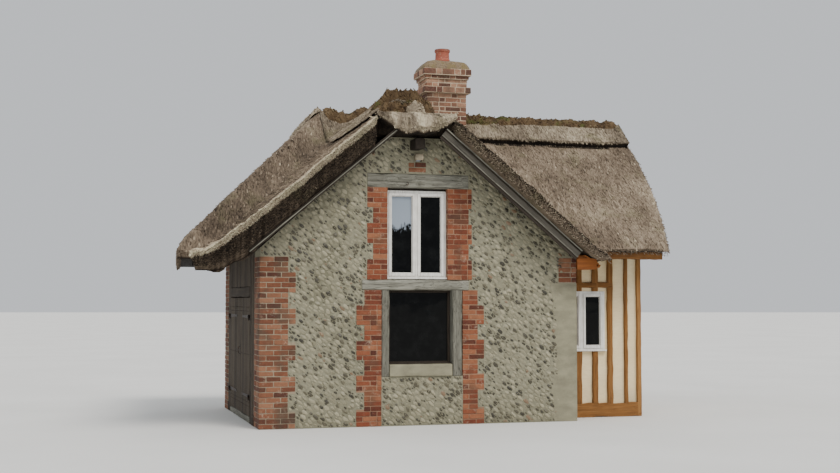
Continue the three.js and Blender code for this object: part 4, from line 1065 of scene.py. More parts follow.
def scatter_stones(triangles, outline, keep_out, rng, largest, smallest):
    """Centres and radii of stones packed on a face, the large ones first, in the packing space"""
    low, high = outline.reshape(-1, 2).min(0), outline.reshape(-1, 2).max(0)
    size = high - low
    tries = int(size[0] * size[1] * 5000)
    places = low + rng.random((tries, 2)) * size
    radii = np.sort(smallest + (largest - smallest) * rng.random(tries) ** 1.9)[::-1]
    fits = within(triangles, places)
    for x0, x1, z0, z1 in keep_out:
        fits &= ((places <= [x0, z0]) | (places >= [x1, z1])).any(1)
        corners = np.array([[x0, z0], [x1, z0], [x1, z1], [x0, z1]])
        outline = np.concatenate([outline, np.stack([corners, np.roll(corners, -1, 0)], 1)])
    radii = np.minimum(radii, clearance(outline, places) / LONG - 0.006)
    places = places @ np.linalg.inv(LIE)
    fits &= radii > smallest * 0.8
    cell, near = 2 * largest, {}
    kept, kept_radii = [], []
    for place, radius in zip(places[fits], radii[fits]):
        column, row = (place // cell).astype(int)
        beside = [stone for a, b in product((-1, 0, 1), repeat=2)
                  for stone in near.get((column + a, row + b), ())]
        if all((place[0] - other[0]) ** 2 + (place[1] - other[1]) ** 2
               >= ((radius + reach) * 0.92 + 0.004) ** 2 for other, reach in beside):
            near.setdefault((column, row), []).append((place, radius))
            kept.append(place)
            kept_radii.append(radius)
    return np.array(kept), np.array(kept_radii)


def stone_outlines(places, radii, rng, corners=8):
    """How far each stone reaches in each direction before its neighbours' joints"""
    angles = np.arange(corners) * 2 * math.pi / corners
    rays = np.stack([np.cos(angles), np.sin(angles)], 1)
    lean, stretch = rng.uniform(0, math.pi, len(places)), rng.uniform(1.0, 1.35, len(places))
    along = np.cos(angles[None] - lean[:, None]) ** 2
    reach = radii[:, None] * 1.16 * stretch[:, None] ** (along * 2 - 1)
    reach *= rng.uniform(0.7, 1.2, reach.shape)
    for k, (place, radius) in enumerate(zip(places, radii)):
        offset = places - place
        apart = np.hypot(offset[:, 0], offset[:, 1])
        beside = (apart > 0) & (apart < radius * 1.6 + 0.11)
        facing = (offset[beside] / apart[beside, None]) @ rays.T
        border = apart[beside] * radius / (radius + radii[beside]) - 0.0035
        limit = np.where(facing > 0.15, border[:, None] / np.maximum(facing, 0.15), 9.0)
        if len(limit):
            reach[k] = np.minimum(reach[k], limit.min(0))
    return reach, rays


def flints(node, axis, sign, seed, keep_out=(), largest=0.037, smallest=0.012):
    """Stones bedded in one face of a wall"""
    rng = np.random.default_rng(seed)
    triangles, outline, plane = flat_face(node, axis, sign)
    places, radii = scatter_stones(triangles, outline, keep_out, rng, largest, smallest)
    reach, rays = stone_outlines(places, radii, rng)
    many, corners = reach.shape
    places, flat_reach = places @ LIE, (reach[:, :, None] * rays[None]) @ LIE
    height = radii * rng.uniform(0.08, 0.24, many) + 0.002
    tilt = rng.normal(0, 0.2, (many, 2))
    rings = []
    for share, rise in FLINT_RINGS:
        flat = flat_reach * share
        flat = flat + rng.normal(0, 0.0018, flat.shape)
        out = height[:, None] * rise + (flat * tilt[:, None]).sum(-1) * max(rise, 0)
        rings.append(np.concatenate([flat, np.maximum(out, -0.003)[..., None]], -1))
    peak = np.zeros((many, 1, 3))
    peak[:, 0, 2] = height * rng.uniform(0.85, 1.1, many)
    local = np.concatenate(rings + [peak], 1)
    points = np.empty_like(local)
    points[..., [1 - axis, 2]] = local[..., :2] + places[:, None]
    points[..., axis] = plane + sign * local[..., 2]
    bed, middle, crown = np.arange(3 * corners).reshape(3, corners)
    tips = np.stack([crown, np.roll(crown, -1), crown * 0 + 3 * corners], 1)
    faces = [np.concatenate([band(bed, middle), band(middle, crown)]), tips, bed[None]]
    # Dark flints: partly the flints' own dark hearts, partly painted shade for the shadowed gaps between
    # stones
    dark = rng.random(many) < np.interp(radii, [0.024, 0.031], [0.66, 0.2])
    tones = np.where(dark, rng.uniform(0, 0.4, many), rng.uniform(0.6, 0.92, many))
    tones[rng.random(many) < 0.025] = 1.0
    lot, each = Lot(), local.shape[1]
    lot.add(points, repeated(faces, many, each), np.repeat(tones, each))
    lot.piece(node.replace("flint_", "").replace("rear_wall", "rear") + "_flints", FLINT, "flint")


# Brickwork

def corner_pair(axis, across, out, z):
    """Lowest and highest corner of a block from its reach along a wall, out from it and in height"""
    pair = np.zeros((2, 3))
    pair[:, axis], pair[:, 1 - axis], pair[:, 2] = sorted(out), across, z
    return pair


def course_lengths(width, short):
    """Bricks of one course, stretcher and header in turn, trimmed to fill the width; short says
    that a header comes first, and None lays stretchers alone"""
    lengths, used = [], 0.0
    while used < width - 0.001:
        step = HEADER if short else STRETCHER
        left = width - used
        if left - step < 0.06:
            step = left
        lengths.append(step - JOINT if left > step else step)
        used += step
        if short is not None:
            short = not short
    return lengths


def brick_face(lot, axis, plane, sign, span, heights, rng, depth=0.09, shift=0, proud=PROUD):
    """Courses of bricks on one face; span gives a course's two ends from its height and number"""
    pairs = []
    low, high = heights
    count = max(1, round((high - low) / COURSE))
    step = (high - low) / count
    for k in range(count):
        z = low + k * step + JOINT / 2, low + (k + 1) * step - JOINT / 2
        place, end = span(sum(z) / 2, k)
        for length in course_lengths(end - place, None if shift is None else (k + shift) % 2 == 1):
            out = plane + sign * (proud + rng.uniform(-0.0025, 0.003))
            pairs.append(corner_pair(axis, (place, place + length), (out, plane - sign * depth), z))
            place += length + JOINT
    lows, highs = np.array(pairs).swapaxes(0, 1)
    blocks(lot, lows, highs, 0.005, rng.random(len(lows)), 0, 0.0022, rng)


def toothed(face, short, long, low, high, lap=0.0):
    """Ends of a course between its edge and the flints: long and short bands in turn, lapped at a corner"""
    step = (high - low) / max(1, round((high - low) / 0.26))

    def span(z, number):
        edge = long if int((z - low) / step) % 2 == 0 else short
        inward = lap if number % 2 else -PROUD
        start = face + (inward if lap else 0) * (1 if edge > face else -1)
        return min(start, edge), max(start, edge)

    return span


def dressings():
    """Brick jambs beside the windows and brick corners of the gable"""
    for name, face, short, long, depth in (("upper_left", -0.42, -0.64, -0.73, 0.075),
                                           ("upper_right", 0.51, 0.84, 0.89, 0.075),
                                           ("lower_left", -0.51, -0.77, -0.89, 0.09),
                                           ("lower_right", 0.745, 0.98, 1.08, 0.09)):
        rng = np.random.default_rng(len(name) + int(abs(face) * 100))
        heights = [corner[2] for corner in around("brick_jamb_" + name)]
        lot = Lot()
        brick_face(lot, 1, 0.0, -1, toothed(face, short, long, *heights), heights, rng, depth)
        lot.piece("bricks_" + name, DRESSING_BRICK, "brick")
    lap = 0.09 + JOINT

    def outer_span(back):
        return lambda z, number: (lap * (1 - number % 2) - PROUD * (number % 2), back)

    for name, face, short, long, side, foot in (("left", LEFT, -1.9, -1.79, -1, 0.0),
                                                ("right", GABLE_END, 2.37, 2.29, 1, RENDER_TOP)):
        rng = np.random.default_rng(17 + side)
        high = around("brick_quoin_" + name)[1]
        lot, heights = Lot(), (foot, high[2])
        brick_face(lot, 1, 0.0, -1, toothed(face, short, long, *heights, lap), heights, rng, shift=None)
        brick_face(lot, 0, face, side, outer_span(high[1] - 0.004 if side < 0 else 0.496), heights, rng,
                   shift=None)
        lot.piece("bricks_corner_" + name, QUOIN_BRICK, "brick")


# Chimney

def stack_ring(lot, box, out, z, turn, rng):
    """One course round the stack: each side starts at a corner and stops a header short of the next"""
    (x0, x1), (y0, y1) = ((low - out, high + out) for low, high in box)
    depth, proud = HEADER - 0.01, 0.0035
    lap = depth + JOINT
    for axis, plane, sign, ends in ((1, y0, -1, (x0, x1)), (0, x1, 1, (y0, y1)),
                                    (1, y1, 1, (x0, x1)), (0, x0, -1, (y0, y1))):
        first = ((axis == 1) == (sign < 0)) != bool(turn)
        span = (ends[0] - proud, ends[1] - lap) if first else (ends[0] + lap, ends[1] + proud)
        brick_face(lot, axis, plane, sign, lambda height, number: span, z, rng, depth, turn, proud)


def chimney():
    low, high = around("chimney_stack")
    box = ((low[0], high[0]), (low[1], high[1]))
    rng = np.random.default_rng(91)
    top, count = high[2], 14
    base = top - count * COURSE
    # Foot, top and overhang of each course: the plain shaft, then the oversailing head
    shaft = [(base + k * COURSE, base + (k + 1) * COURSE, 0.0) for k in range(count)]
    head = [(top + start, top + end, out) for start, end, out in (
        (0.0, 0.1, 0.06), (0.1, 0.17, 0.01), (0.17, 0.235, 0.01), (0.235, 0.3, 0.035), (0.3, 0.4, 0.07))]
    for name, courses in (("stack_bricks", shaft), ("stack_head_bricks", head)):
        lot = Lot()
        for k, (start, end, out) in enumerate(courses):
            stack_ring(lot, box, out, (start, end), k % 2, rng)
        lot.piece(name, STACK_BRICK, "chimney_brick")
    middle = (low + high) / 2
    cap(middle, top + 0.4, (high - low) / 2 + 0.07)
    fillet(box)
    pot(middle)


def cap(middle, z, half):
    """Weathered mortar sloping from the head's edge up to the pot"""
    steps = 40
    angle = (np.arange(steps) + 0.5) * 2 * math.pi / steps
    square = np.minimum(1 / np.maximum(np.abs(np.cos(angle)), np.abs(np.sin(angle))), 1.36)
    rings = []
    for share, rise, boxy in ((0.2, 0.0, 1), (1.0, -0.004, 1), (1.0, 0.012, 1), (0.94, 0.05, 1),
                              (0.86, 0.1, 1), (0.8, 0.132, 0.95), (0.66, 0.146, 0.8), (0.2, 0.152, 0)):
        out = share * (1 + (square - 1) * boxy)
        bumps = lumps(angle * 3, np.full(steps, rise * 40), 5) * 0.008
        x = middle[0] + np.cos(angle) * out * (half[0] * boxy + half[1] * (1 - boxy)) * (1 + bumps)
        y = middle[1] + np.sin(angle) * out * half[1] * (1 + bumps)
        rings.append(np.stack([x, y, z + rise + bumps * (rise > 0)], 1))
    lot = Lot()
    tube(lot, np.array(rings))
    lot.piece("stack_mortar_cap", LICHEN, "chimney_brick", crease=60)


def fillet(box):
    """Mortar run round the stack where it meets the thatch"""
    (x0, x1), (y0, y1) = box
    corners = np.array([(x0, y0), (x1, y0), (x1, y1), (x0, y1)])
    share = np.linspace(0, 1, 12, endpoint=False)[None, :, None]
    path = (corners[:, None] + (np.roll(corners, -1, 0) - corners)[:, None] * share).reshape(-1, 2)
    away = unit(path - [(x0 + x1) / 2, (y0 + y1) / 2])
    surface = roof_height(path[:, 0], path[:, 1])
    rings = []
    for out, rise in ((-0.01, 0.16), (0.012, 0.17), (0.045, 0.1), (0.06, -0.02), (-0.01, -0.04)):
        wobble = lumps(np.arange(len(path)) * 0.9, np.full(len(path), out * 60), 9) * 0.012
        rings.append(np.column_stack([path + away * (out + wobble[:, None] * 0.6), surface + rise + wobble]))
    lot = Lot()
    tube(lot, np.array(rings), closed=True)
    lot.piece("stack_mortar_fillet", LICHEN, "chimney_brick", crease=60)


def pot(middle):
    low, high = around("chimney_pot")
    tall, radius, steps = high[2] - low[2], 0.12, 48
    # Up the pot's outside and down into its flue: how far out of its radius, and how high
    outline = [(0.008, 0.0), (0.009, 0.03), (0.006, 0.05), (-0.002, 0.06), (-0.003, 0.1), (-0.006, 0.155),
               (-0.004, 0.166), (0.007, 0.174), (0.01, 0.184), (0.01, 0.206), (0.005, tall - 0.002),
               (-0.012, tall), (-0.024, tall - 0.006), (-0.025, 0.05)]
    angle = np.arange(steps) * 2 * math.pi / steps
    rings = []
    for k, (swell, z) in enumerate(outline):
        size = (radius + swell) * (1 + lumps(angle * 1.2, np.full(steps, k * 0.7), 15) * 0.008)
        rings.append(np.stack([middle[0] + np.cos(angle) * size, middle[1] + np.sin(angle) * size,
                               np.full(steps, low[2] + z)], 1))
    lot = Lot()
    tube(lot, np.array(rings))
    lot.piece("clay_pot", CLAY, "clay", replaces=["chimney_pot"], crease=50)


# Timbers of the gable

def gable_timbers():
    rng = np.random.default_rng(101)
    for name, node in (("lintel_over_upper_window", "upper_lintel"),
                       ("beam_over_lower_window", "floor_beam")):
        (x0, _, z0), (x1, _, z1) = around(node)
        ends = [(x, -0.008, (z0 + z1) / 2) for x in (x0, x1)]
        timber(name, GREY_OAK, "grey_timber", (*ends, z1 - z0 + 0.006, 0.5, FRONT, rng, 0.006, 0.55),
               replaces=[node])
    for side in ("left", "right"):
        node = "window_post_" + side
        (x0, _, z0), (x1, _, z1) = around(node)
        ends = [((x0 + x1) / 2, -0.006, z) for z in (z0, z1)]
        timber("post_" + side, GREY_OAK, "grey_timber", (*ends, x1 - x0, 0.49, FRONT, rng, 0.004, 0.42),
               replaces=[node])
    (x0, y0, z0), (x1, y1, z1) = around("ridge_beam")
    ends = [((x0 + x1) / 2, y, (z0 + z1) / 2 + 0.075) for y in (y0, y1)]
    timber("ridge_beam_end", DARK_OAK, "dark_timber", (*ends, 0.15, 0.15, UP, rng, 0.005, 0.4),
           replaces=["ridge_beam"])
    flying_rafters(rng)


def flying_rafters(rng):
    """Boards under each verge of the gable with thin pale fillets, and dark strips that are painted shadow in
    the gaps between the wall, the boards and the thatch
    """
    woods = {"pale": GREY_OAK, "dark": DARK_OAK, "board": SHADED_OAK}
    # Each strip: wood, place in y, thickness, lower and upper edge
    # The dark strips are painted shadow: the shadow lines between the wall, the boards and the thatch
    left = [("pale", -0.388, 0.014, 0.018, 0.033), ("dark", -0.368, 0.03, 0.0, 0.055)]
    right = [("dark", -0.355, 0.03, 0.0, 0.05), ("pale", -0.376, 0.014, 0.046, 0.06),
             ("board", -0.36, 0.024, 0.055, 0.135), ("dark", -0.352, 0.02, 0.13, 0.17),
             ("pale", -0.38, 0.014, 0.16, 0.176)]
    head = 0.28
    for name, side, sign, foot, strips in (("left", GABLE_LEFT, -1, 2.5, left),
                                           ("right", GABLE_RIGHT, 1, 2.42, right)):
        top, fall = side["verge"]
        slope = unit(np.array([sign, 0, -fall]))
        up = np.array([-slope[2], 0, slope[0]]) * sign
        lots = {}
        for wood, y, thick, low, high in strips:
            start = np.array([sign * head, y, top - fall * head]) + up * high
            end = start + slope * (foot - head) / abs(slope[0])
            beam(lots.setdefault(wood, Lot()), start, end, thick, high - low, up, rng, 0.0008, 0.45)
        for wood, lot in lots.items():
            lot.piece(f"verge_{wood}_{name}", woods[wood], "grey_timber",
                      replaces=["flying_rafter_" + name] if wood == "pale" else [])


def eave_boards():
    """Amber boards closing the eave between the gable's corner and the half-timbered wing, and the
    brown board that the reed of the front eave lies on"""
    rng = np.random.default_rng(171)
    start, end = np.array([2.586, 0, 2.54]), np.array([2.95, 0, 2.335])
    slope = unit(end - start)
    up = np.array([-slope[2], 0, slope[0]])
    cuts = [(*(start + slope * along + [0, y, 0] for y in (-0.33, 0.496)), 0.132, 0.02, up, rng, 0.001, 0.55,
             14.0) for along in (0.07, 0.21)]
    foot = start + slope * 0.285
    timber("soffit_boards", AMBER_OAK, "honey_timber", *cuts,
           (foot + [0, -0.34, -0.01], foot + [0, 0.496, -0.01], 0.03, 0.05, up, rng, 0.001, 0.6, 14.0),
           # The front-closing board has a low tone: painted shade under the eave
           ((2.46, -0.34, 2.4), (2.78, -0.34, 2.4), 0.17, 0.02, FRONT, rng, 0.001, 0.15))
    y, z = EAVE_RIGHT + 0.05, RIDGE_Z - MAIN_FALL * (RIDGE_Y - EAVE_RIGHT) - EAVE_LIP - 0.065
    timber("eave_board", HONEY_OAK, "honey_timber",
           ((2.7, y, z), (VERGE_FOOT - 0.06, y, z), 0.11, 0.03, FRONT, np.random.default_rng(172), 0.003,
            0.15))


def gable_details():
    """Brick patch under the beam end, the lamp, the iron hook and the sill"""
    rng = np.random.default_rng(111)
    patch, hook = Lot(), Lot()
    brick_face(patch, 1, 0.0, -1, lambda z, number: (-0.1, 0.17), (3.75, 3.905), rng, 0.05)
    patch.piece("brick_patch", QUOIN_BRICK, "brick")
    lamp()
    curl = [(-0.13 + 0.018 * math.sin(t), -0.045 - 0.012 * math.cos(t), 3.575 + 0.018 * math.cos(t))
            for t in np.linspace(0, 1.5 * math.pi, 12)]
    rod(hook, [(-0.13, 0.0, 3.6), (-0.13, -0.03, 3.6)] + curl, 0.005, 8)
    hook.piece("lintel_hook", IRON, "lamp_metal")
    (x0, y, z0), (x1, _, z1) = around("lower_window_sill")
    ends = [(x, y - 0.004, (z0 + z1) / 2) for x in (x0, x1)]
    timber("lower_sill", CEMENT, "concrete", (*ends, z1 - z0, 0.5, FRONT, rng, 0.003, 0.5, 14.0),
           replaces=["lower_window_sill"])


def lamp():
    """Small flood lamp on its bracket under the beam end"""
    lot, glass = Lot(), Lot()
    blocks(lot, [0.02, -0.014, 3.96], [0.08, 0.0, 4.04])
    rod(lot, [(0.05, 0.0, 4.0), (0.05, -0.06, 4.0), (0.05, -0.1, 3.99), (0.05, -0.112, 3.965)], 0.009)
    blocks(lot, [[-0.065, -0.045, -0.04], [-0.06, -0.052, -0.034]],
           [[0.065, 0.045, 0.04], [0.06, -0.04, 0.034]], 0.008)
    fins = np.array([[-0.055 + 0.02 * k, 0.04, -0.035] for k in range(6)])
    blocks(lot, fins, fins + [0.006, 0.014, 0.07], 0.002)
    blocks(glass, [-0.05, -0.053, -0.028], [0.05, -0.046, 0.028], 0.002)
    tilt = math.radians(78)
    spin = np.array([[1, 0, 0], [0, math.cos(tilt), -math.sin(tilt)], [0, math.sin(tilt), math.cos(tilt)]])
    # The case, its fins and its glass hang tilted under the bracket
    for points in lot.points[-2:] + glass.points:
        points[:] = points @ spin.T + [0.03, -0.11, 3.965]
    lot.piece("gable_floodlight", LAMP_PAINT, "lamp_metal", replaces=["gable_lamp"])
    glass.piece("floodlight_glass", GLASS, "glass")


def corner_render():
    """Cement skin over the lower part of the right corner, feathered at its edges"""
    rng = np.random.default_rng(161)
    rows, cols = 88, 24
    z = np.linspace(0.0, RENDER_TOP - 0.004, rows + 1)[:, None]
    edge = 2.2 + 0.05 * lumps(z * 2.3, z * 0, 7) + 0.02 * lumps(z * 9, z * 0, 8)
    x = edge + (GABLE_END + 0.0035 - edge) * np.linspace(0, 1, cols + 1)
    z = np.broadcast_to(z, x.shape) - np.where(z > RENDER_TOP - 0.02, 0.012, 0) * rng.random(x.shape)
    thin = np.clip((x - edge) / 0.07, 0, 1) * np.clip((RENDER_TOP - z) / 0.05, 0.1, 1)
    skin = 0.002 + 0.009 * thin + 0.003 * lumps(x * 6, z * 6, 9) * thin
    lot = Lot()
    sheet(lot, *(np.stack([x, y, z], -1) for y in (-skin, skin * 0 + 0.03)))
    lot.piece("corner_render", CEMENT, "concrete")


# Windows

def window(name, node, axis, sign, bars, bar_width, width, sash, material, slot, shadow_strip=0.0):
    """A frame with its sashes and beads; axis is the one that the wall runs along, shadow_strip is the
    height of a dark strip over the frame, painted shadow under the lintel"""
    low, high = around(node)
    rng = np.random.default_rng(len(name))
    lot, deep = Lot(), 1 - axis
    front = low[deep] if sign < 0 else high[deep]
    frame_sizes, sash_sizes, bead_sizes = (0.0, 0.07, 0.003), (0.013, 0.03, 0.005), (-0.012, 0.029, 0.002)
    bead, overlap = 0.009, 0.008

    def put(a0, a1, z0, z1, out, back, chamfer, along=2):
        pair = corner_pair(deep, (a0, a1), (front + sign * out, front - sign * back), (z0, z1))
        blocks(lot, *pair, chamfer, rng.uniform(0.4, 0.6), along, 0.0, rng)

    def surround(a0, a1, z0, z1, thick, sizes):
        put(a0, a0 + thick, z0, z1, *sizes)
        put(a1 - thick, a1, z0, z1, *sizes)
        put(a0 + thick, a1 - thick, z1 - thick, z1, *sizes, axis)
        put(a0 + thick, a1 - thick, z0, z0 + thick, *sizes, axis)

    a0, a1, z0, z1 = low[axis], high[axis], low[2], high[2] - shadow_strip
    # The dark strip over the frame is painted shadow under the lintel
    if shadow_strip:
        strip = Lot()
        pair = corner_pair(deep, (a0, a1), (front - sign * 0.02, front - sign * 0.06), (z1 + 0.001, high[2]))
        blocks(strip, *pair, 0.002, 0.2, axis)
        strip.piece(name + "_packer", DARK_OAK, "dark_timber")
    surround(a0, a1, z0, z1, width, frame_sizes)
    inner_low, inner_high, half = z0 + width, z1 - width, bar_width / 2
    for bar in bars:
        put(bar - half, bar + half, inner_low, inner_high, *frame_sizes)
    starts, ends = [a0 + width] + [bar + half for bar in bars], [bar - half for bar in bars] + [a1 - width]
    for left, right in zip(starts, ends):
        if sash:
            surround(left - overlap, right + overlap, inner_low - overlap, inner_high + overlap,
                     sash + overlap, sash_sizes)
        surround(left + sash, right - sash, inner_low + sash, inner_high - sash, bead, bead_sizes)
    put(a0 - 0.015, a1 + 0.015, z0 - 0.01, z0 + 0.018, 0.05, 0.0, 0.006, axis)
    lot.piece(name, material, slot, replaces=[node])


def windows():
    white, dark = (JOINERY, "white_frame"), (DARK_OAK, "dark_timber")
    for name, node, *sizes in (("upper_casement", "upper", 0, -1, [0.045], 0.05, 0.045, 0.036, *white, 0.035),
                               ("lower_light", "lower", 0, -1, [], 0.05, 0.03, 0.0, *dark),
                               ("wing_casement", "wing", 0, -1, [2.8975], 0.055, 0.045, 0.035, *white),
                               ("rear_casement", "rear", 0, 1, [-0.65], 0.06, 0.05, 0.045, *white),
                               ("end_casement", "end", 1, 1, [2.2], 0.06, 0.05, 0.045, *white)):
        window(name, node + "_window_frame", *sizes)


# Half-timbered walls

def half_timbering():
    rng = np.random.default_rng(121)
    stud, depth, foot = 0.09, 0.06, 0.2
    low, high = around("wing_frame")
    sill, head = (corner[2] for corner in around("wing_window_frame"))
    y, top = low[1] - 0.004, main_soffit(low[1]) - 0.01
    cuts = [((low[0], y - 0.003, z), (x, y - 0.003, z), tall, depth, FRONT, rng, 0.004, 0.5)
            for z, tall, x in ((0.11, 0.22, high[0]), (2.09, 0.085, 3.42), (top - 0.1, 0.17, high[0]))]
    cuts += [((x, y - out, z0), (x, y - out, z1), wide, depth, FRONT, rng, wane, tone)
             for x, out, z0, z1, wide, wane, tone in (
                 (high[0] - 0.035, 0.006, 0, top, 0.07, 0.004, 0.9),
                 (3.377, 0, foot, top, stud, 0.005, 0.45), (3.65, 0, foot, top, 0.055, 0.005, 0.45),
                 *((x, 0, *span, stud, 0.005, 0.5) for span in ((foot, sill), (head, top))
                   for x in (2.845, 3.117)))]
    timber("wing_timbers", HONEY_OAK, "honey_timber", *cuts, replaces=["wing_frame"])

    low, high = around("end_frame")
    sill, head = (corner[2] for corner in around("end_window_frame"))
    x = high[0] + 0.004
    cuts = [((x + 0.003, y0, z), (x + 0.003, y1, z), tall, depth, EAST, rng, 0.004, 0.5)
            for z, tall, y0, y1 in ((0.11, 0.22, low[1], high[1]), (2.09, 0.085, low[1], high[1]),
                                    (2.95, 0.1, RIDGE_Y - 1.5, RIDGE_Y + 1.2))]
    studs = [(y, foot, main_soffit(y) - 0.03) for y in (low[1] + 0.055, 1.0, 1.4, 3.0, high[1] - 0.055)]
    for y in (1.78, 2.2, 2.62):
        studs += [(y, foot, sill), (y, head, main_soffit(y) - 0.03)]
    cuts += [((x, y, z0), (x, y, z1), stud, depth, EAST, rng, 0.005, 0.5) for y, z0, z1 in studs]
    cuts += [(*((x + 0.002, y, main_soffit(y) - 0.07) for y in (foot_y, RIDGE_Y)), 0.12, depth, EAST, rng,
              0.005, 0.5) for foot_y in (RIDGE_Y - 1.62, RIDGE_Y + 1.2)]
    timber("end_timbers", HONEY_OAK, "honey_timber", *cuts, replaces=["end_frame"])


# Boarded wall and doors

DOORWAY, MEETING_Y = (0.95, 3.15), 2.05
# Front and rear hinge line, heights of the straps, and the pins' distance in front of the wall
HINGES, STRAPS, PIN_OUT = (0.938, 3.162), (0.4, 1.6), 0.026


def uneven(ends, count, rng):
    """Edges of boards of nearly the same width"""
    return np.linspace(*ends, count + 1) + np.concatenate([[0], rng.uniform(-0.012, 0.012, count - 1), [0]])


def wall_top(y):
    return min(hip_soffit(LEFT + 0.05, y), main_soffit(y)) - 0.012


def boards(lot, ends, foot, rng):
    """Upright boards with shadow gaps, up to the thatch"""
    count = max(1, round((ends[1] - ends[0]) / 0.15))
    edges = uneven(ends, count, rng)
    lows = [[LEFT - 0.002 + rng.uniform(-0.003, 0.003), edge + 0.002, foot] for edge in edges[:-1]]
    highs = [[low[0] + 0.022, b - 0.002, wall_top((a + b) / 2)] for low, a, b in zip(lows, edges, edges[1:])]
    blocks(lot, lows, highs, 0.003, rng.uniform(0.2, 0.8, count), 2, 0.0015, rng)


def boarded_wall():
    rng = np.random.default_rng(131)
    start, end = DOORWAY

    def backing(lot, ends, foot):
        blocks(lot, [LEFT + 0.022, ends[0], foot], [LEFT + 0.1, ends[1], wall_top(sum(ends) / 2)], 0.004, 0.3,
               2, 0.0, rng)

    for name, post_y, ends in (("front", start - 0.08, (0.505, start - 0.16)),
                               ("rear", end + 0.08, (end + 0.16, 3.448))):
        lot = Lot()
        beam(lot, (LEFT - 0.004, post_y, 0), (LEFT - 0.004, post_y, wall_top(post_y)), 0.16, 0.1, WEST, rng,
             0.005, 0.45)
        boards(lot, ends, 0.15, rng)
        beam(lot, *((LEFT - 0.012, y, 0.075) for y in ends), 0.15, 0.11, WEST, rng, 0.004, 0.4)
        backing(lot, ends, 0.0)
        lot.piece("boards_" + name, OLD_SHADED_BOARD, "boards", replaces=["side_wall_" + name])
    lot = Lot()
    beam(lot, *((LEFT - 0.006, y, 1.98) for y in DOORWAY), 0.158, 0.1, WEST, rng, 0.005, 0.45)
    boards(lot, DOORWAY, 2.06, rng)
    backing(lot, DOORWAY, 2.0)
    lot.piece("boards_over_doors", OLD_SHADED_BOARD, "boards", replaces=["side_wall_over_doors"])
    low, high = (corner[2] for corner in around("door_sill"))
    timber("oak_door_sill", GREY_OAK, "grey_timber",
           (*((LEFT - 0.004, y, (low + high) / 2) for y in DOORWAY), high - low, 0.1, WEST, rng, 0.004, 0.5),
           replaces=["door_sill"])
    lot = Lot()
    for (y, beside), z in product(zip(HINGES, (-1, 1)), STRAPS):
        near, far = sorted((y, y + beside * 0.045))
        blocks(lot, [LEFT - 0.013, near, z - 0.062], [LEFT - 0.004, far, z - 0.026], 0.002)
        rod(lot, [(LEFT, y, z - 0.044), (LEFT - PIN_OUT, y, z - 0.044)], 0.007, 8)
        rod(lot, [(LEFT - PIN_OUT, y, z - 0.054), (LEFT - PIN_OUT, y, z + 0.03)], 0.0078, 12)
    lot.piece("door_pintles", IRON, "boards")
    for name, hinge, sign in zip(("front", "rear"), HINGES, (1, -1)):
        door(name, hinge, sign)


def door(name, hinge, sign):
    """A ledged plank leaf with strap hinges and nails, and a latch on the front leaf"""
    rng = np.random.default_rng(141 + sign)
    node, body, face, count = "door_leaf_" + name, name + "_door", LEFT - 0.006, 7
    foot, head = (corner[2] for corner in around(node))
    middle = (foot + head) / 2
    meeting = MEETING_Y - sign * 0.004
    y0, y1 = sorted((hinge + sign * 0.02, meeting))
    wood, iron = Lot(), Lot()
    edges = uneven((y0, y1), count, rng)
    lows = [[face + rng.uniform(0, 0.002), y + 0.0015, foot + rng.uniform(0, 0.006)] for y in edges[:-1]]
    highs = [[face + 0.024, y - 0.0015, head - rng.uniform(0, 0.004)] for y in edges[1:]]
    blocks(wood, lows, highs, 0.0035, rng.uniform(0.25, 0.8, count), 2, 0.001, rng)
    for z in (foot + 0.18, middle, head - 0.18):
        blocks(wood, [face + 0.024, y0 + 0.02, z - 0.06], [face + 0.04, y1 - 0.02, z + 0.06], 0.006, 0.5, 1,
               0.0, rng)
    for z in STRAPS:
        strap(iron, face, hinge, sign, z)
    rows = (foot + 0.15, foot + 0.21, head - 0.15, head - 0.21, middle + 0.03)
    for (a, b), side, z in product(zip(edges, edges[1:]), (-1, 1), rows):
        y = (a + b) / 2 + side * 0.028
        rod(iron, [(face + 0.0025, y, z), (face - 0.0035, y, z)], 0.0055, 7)
    if sign > 0:
        y = meeting - 0.075
        blocks(iron, [face - 0.004, y - 0.018, 0.98], [face + 0.001, y + 0.018, 1.15], 0.001)
        grip = [(face - 0.005 - 0.03 * math.sin(t), y, 1.065 + 0.06 * math.cos(t))
                for t in np.linspace(0, math.pi, 10)]
        rod(iron, grip, 0.0055, 8)
    wood.piece("planks_" + body, OLD_SHADED_BOARD, "boards", body, [node])
    iron.piece("ironwork_" + body, IRON, "boards", body)


def strap(lot, face, hinge, sign, z):
    """A strap hinge: an eye round the pin, a tapering bar and its bolts"""
    run = np.linspace(0.004, 0.82, 16)
    tall = np.interp(run, [0.0, 0.1, 0.7, 0.78, 0.82], [0.025, 0.025, 0.013, 0.022, 0.004])
    corners = ((0.001, -1), (0.001, 1), (-0.006, 1), (-0.006, -1))
    tube(lot, np.stack([np.stack([run * 0 + face + x, hinge + sign * run, z + half * tall], 1)
                        for x, half in corners], 1))
    rod(lot, [(LEFT - PIN_OUT, hinge, z - 0.024), (LEFT - PIN_OUT, hinge, z + 0.024)], 0.0145, 14)
    for along in (0.08, 0.25, 0.42, 0.6, 0.745):
        rod(lot, [(face - out, hinge + sign * along, z) for out in (0.004, 0.0085, 0.0095)], 0.0075, 8)


# Rear wall

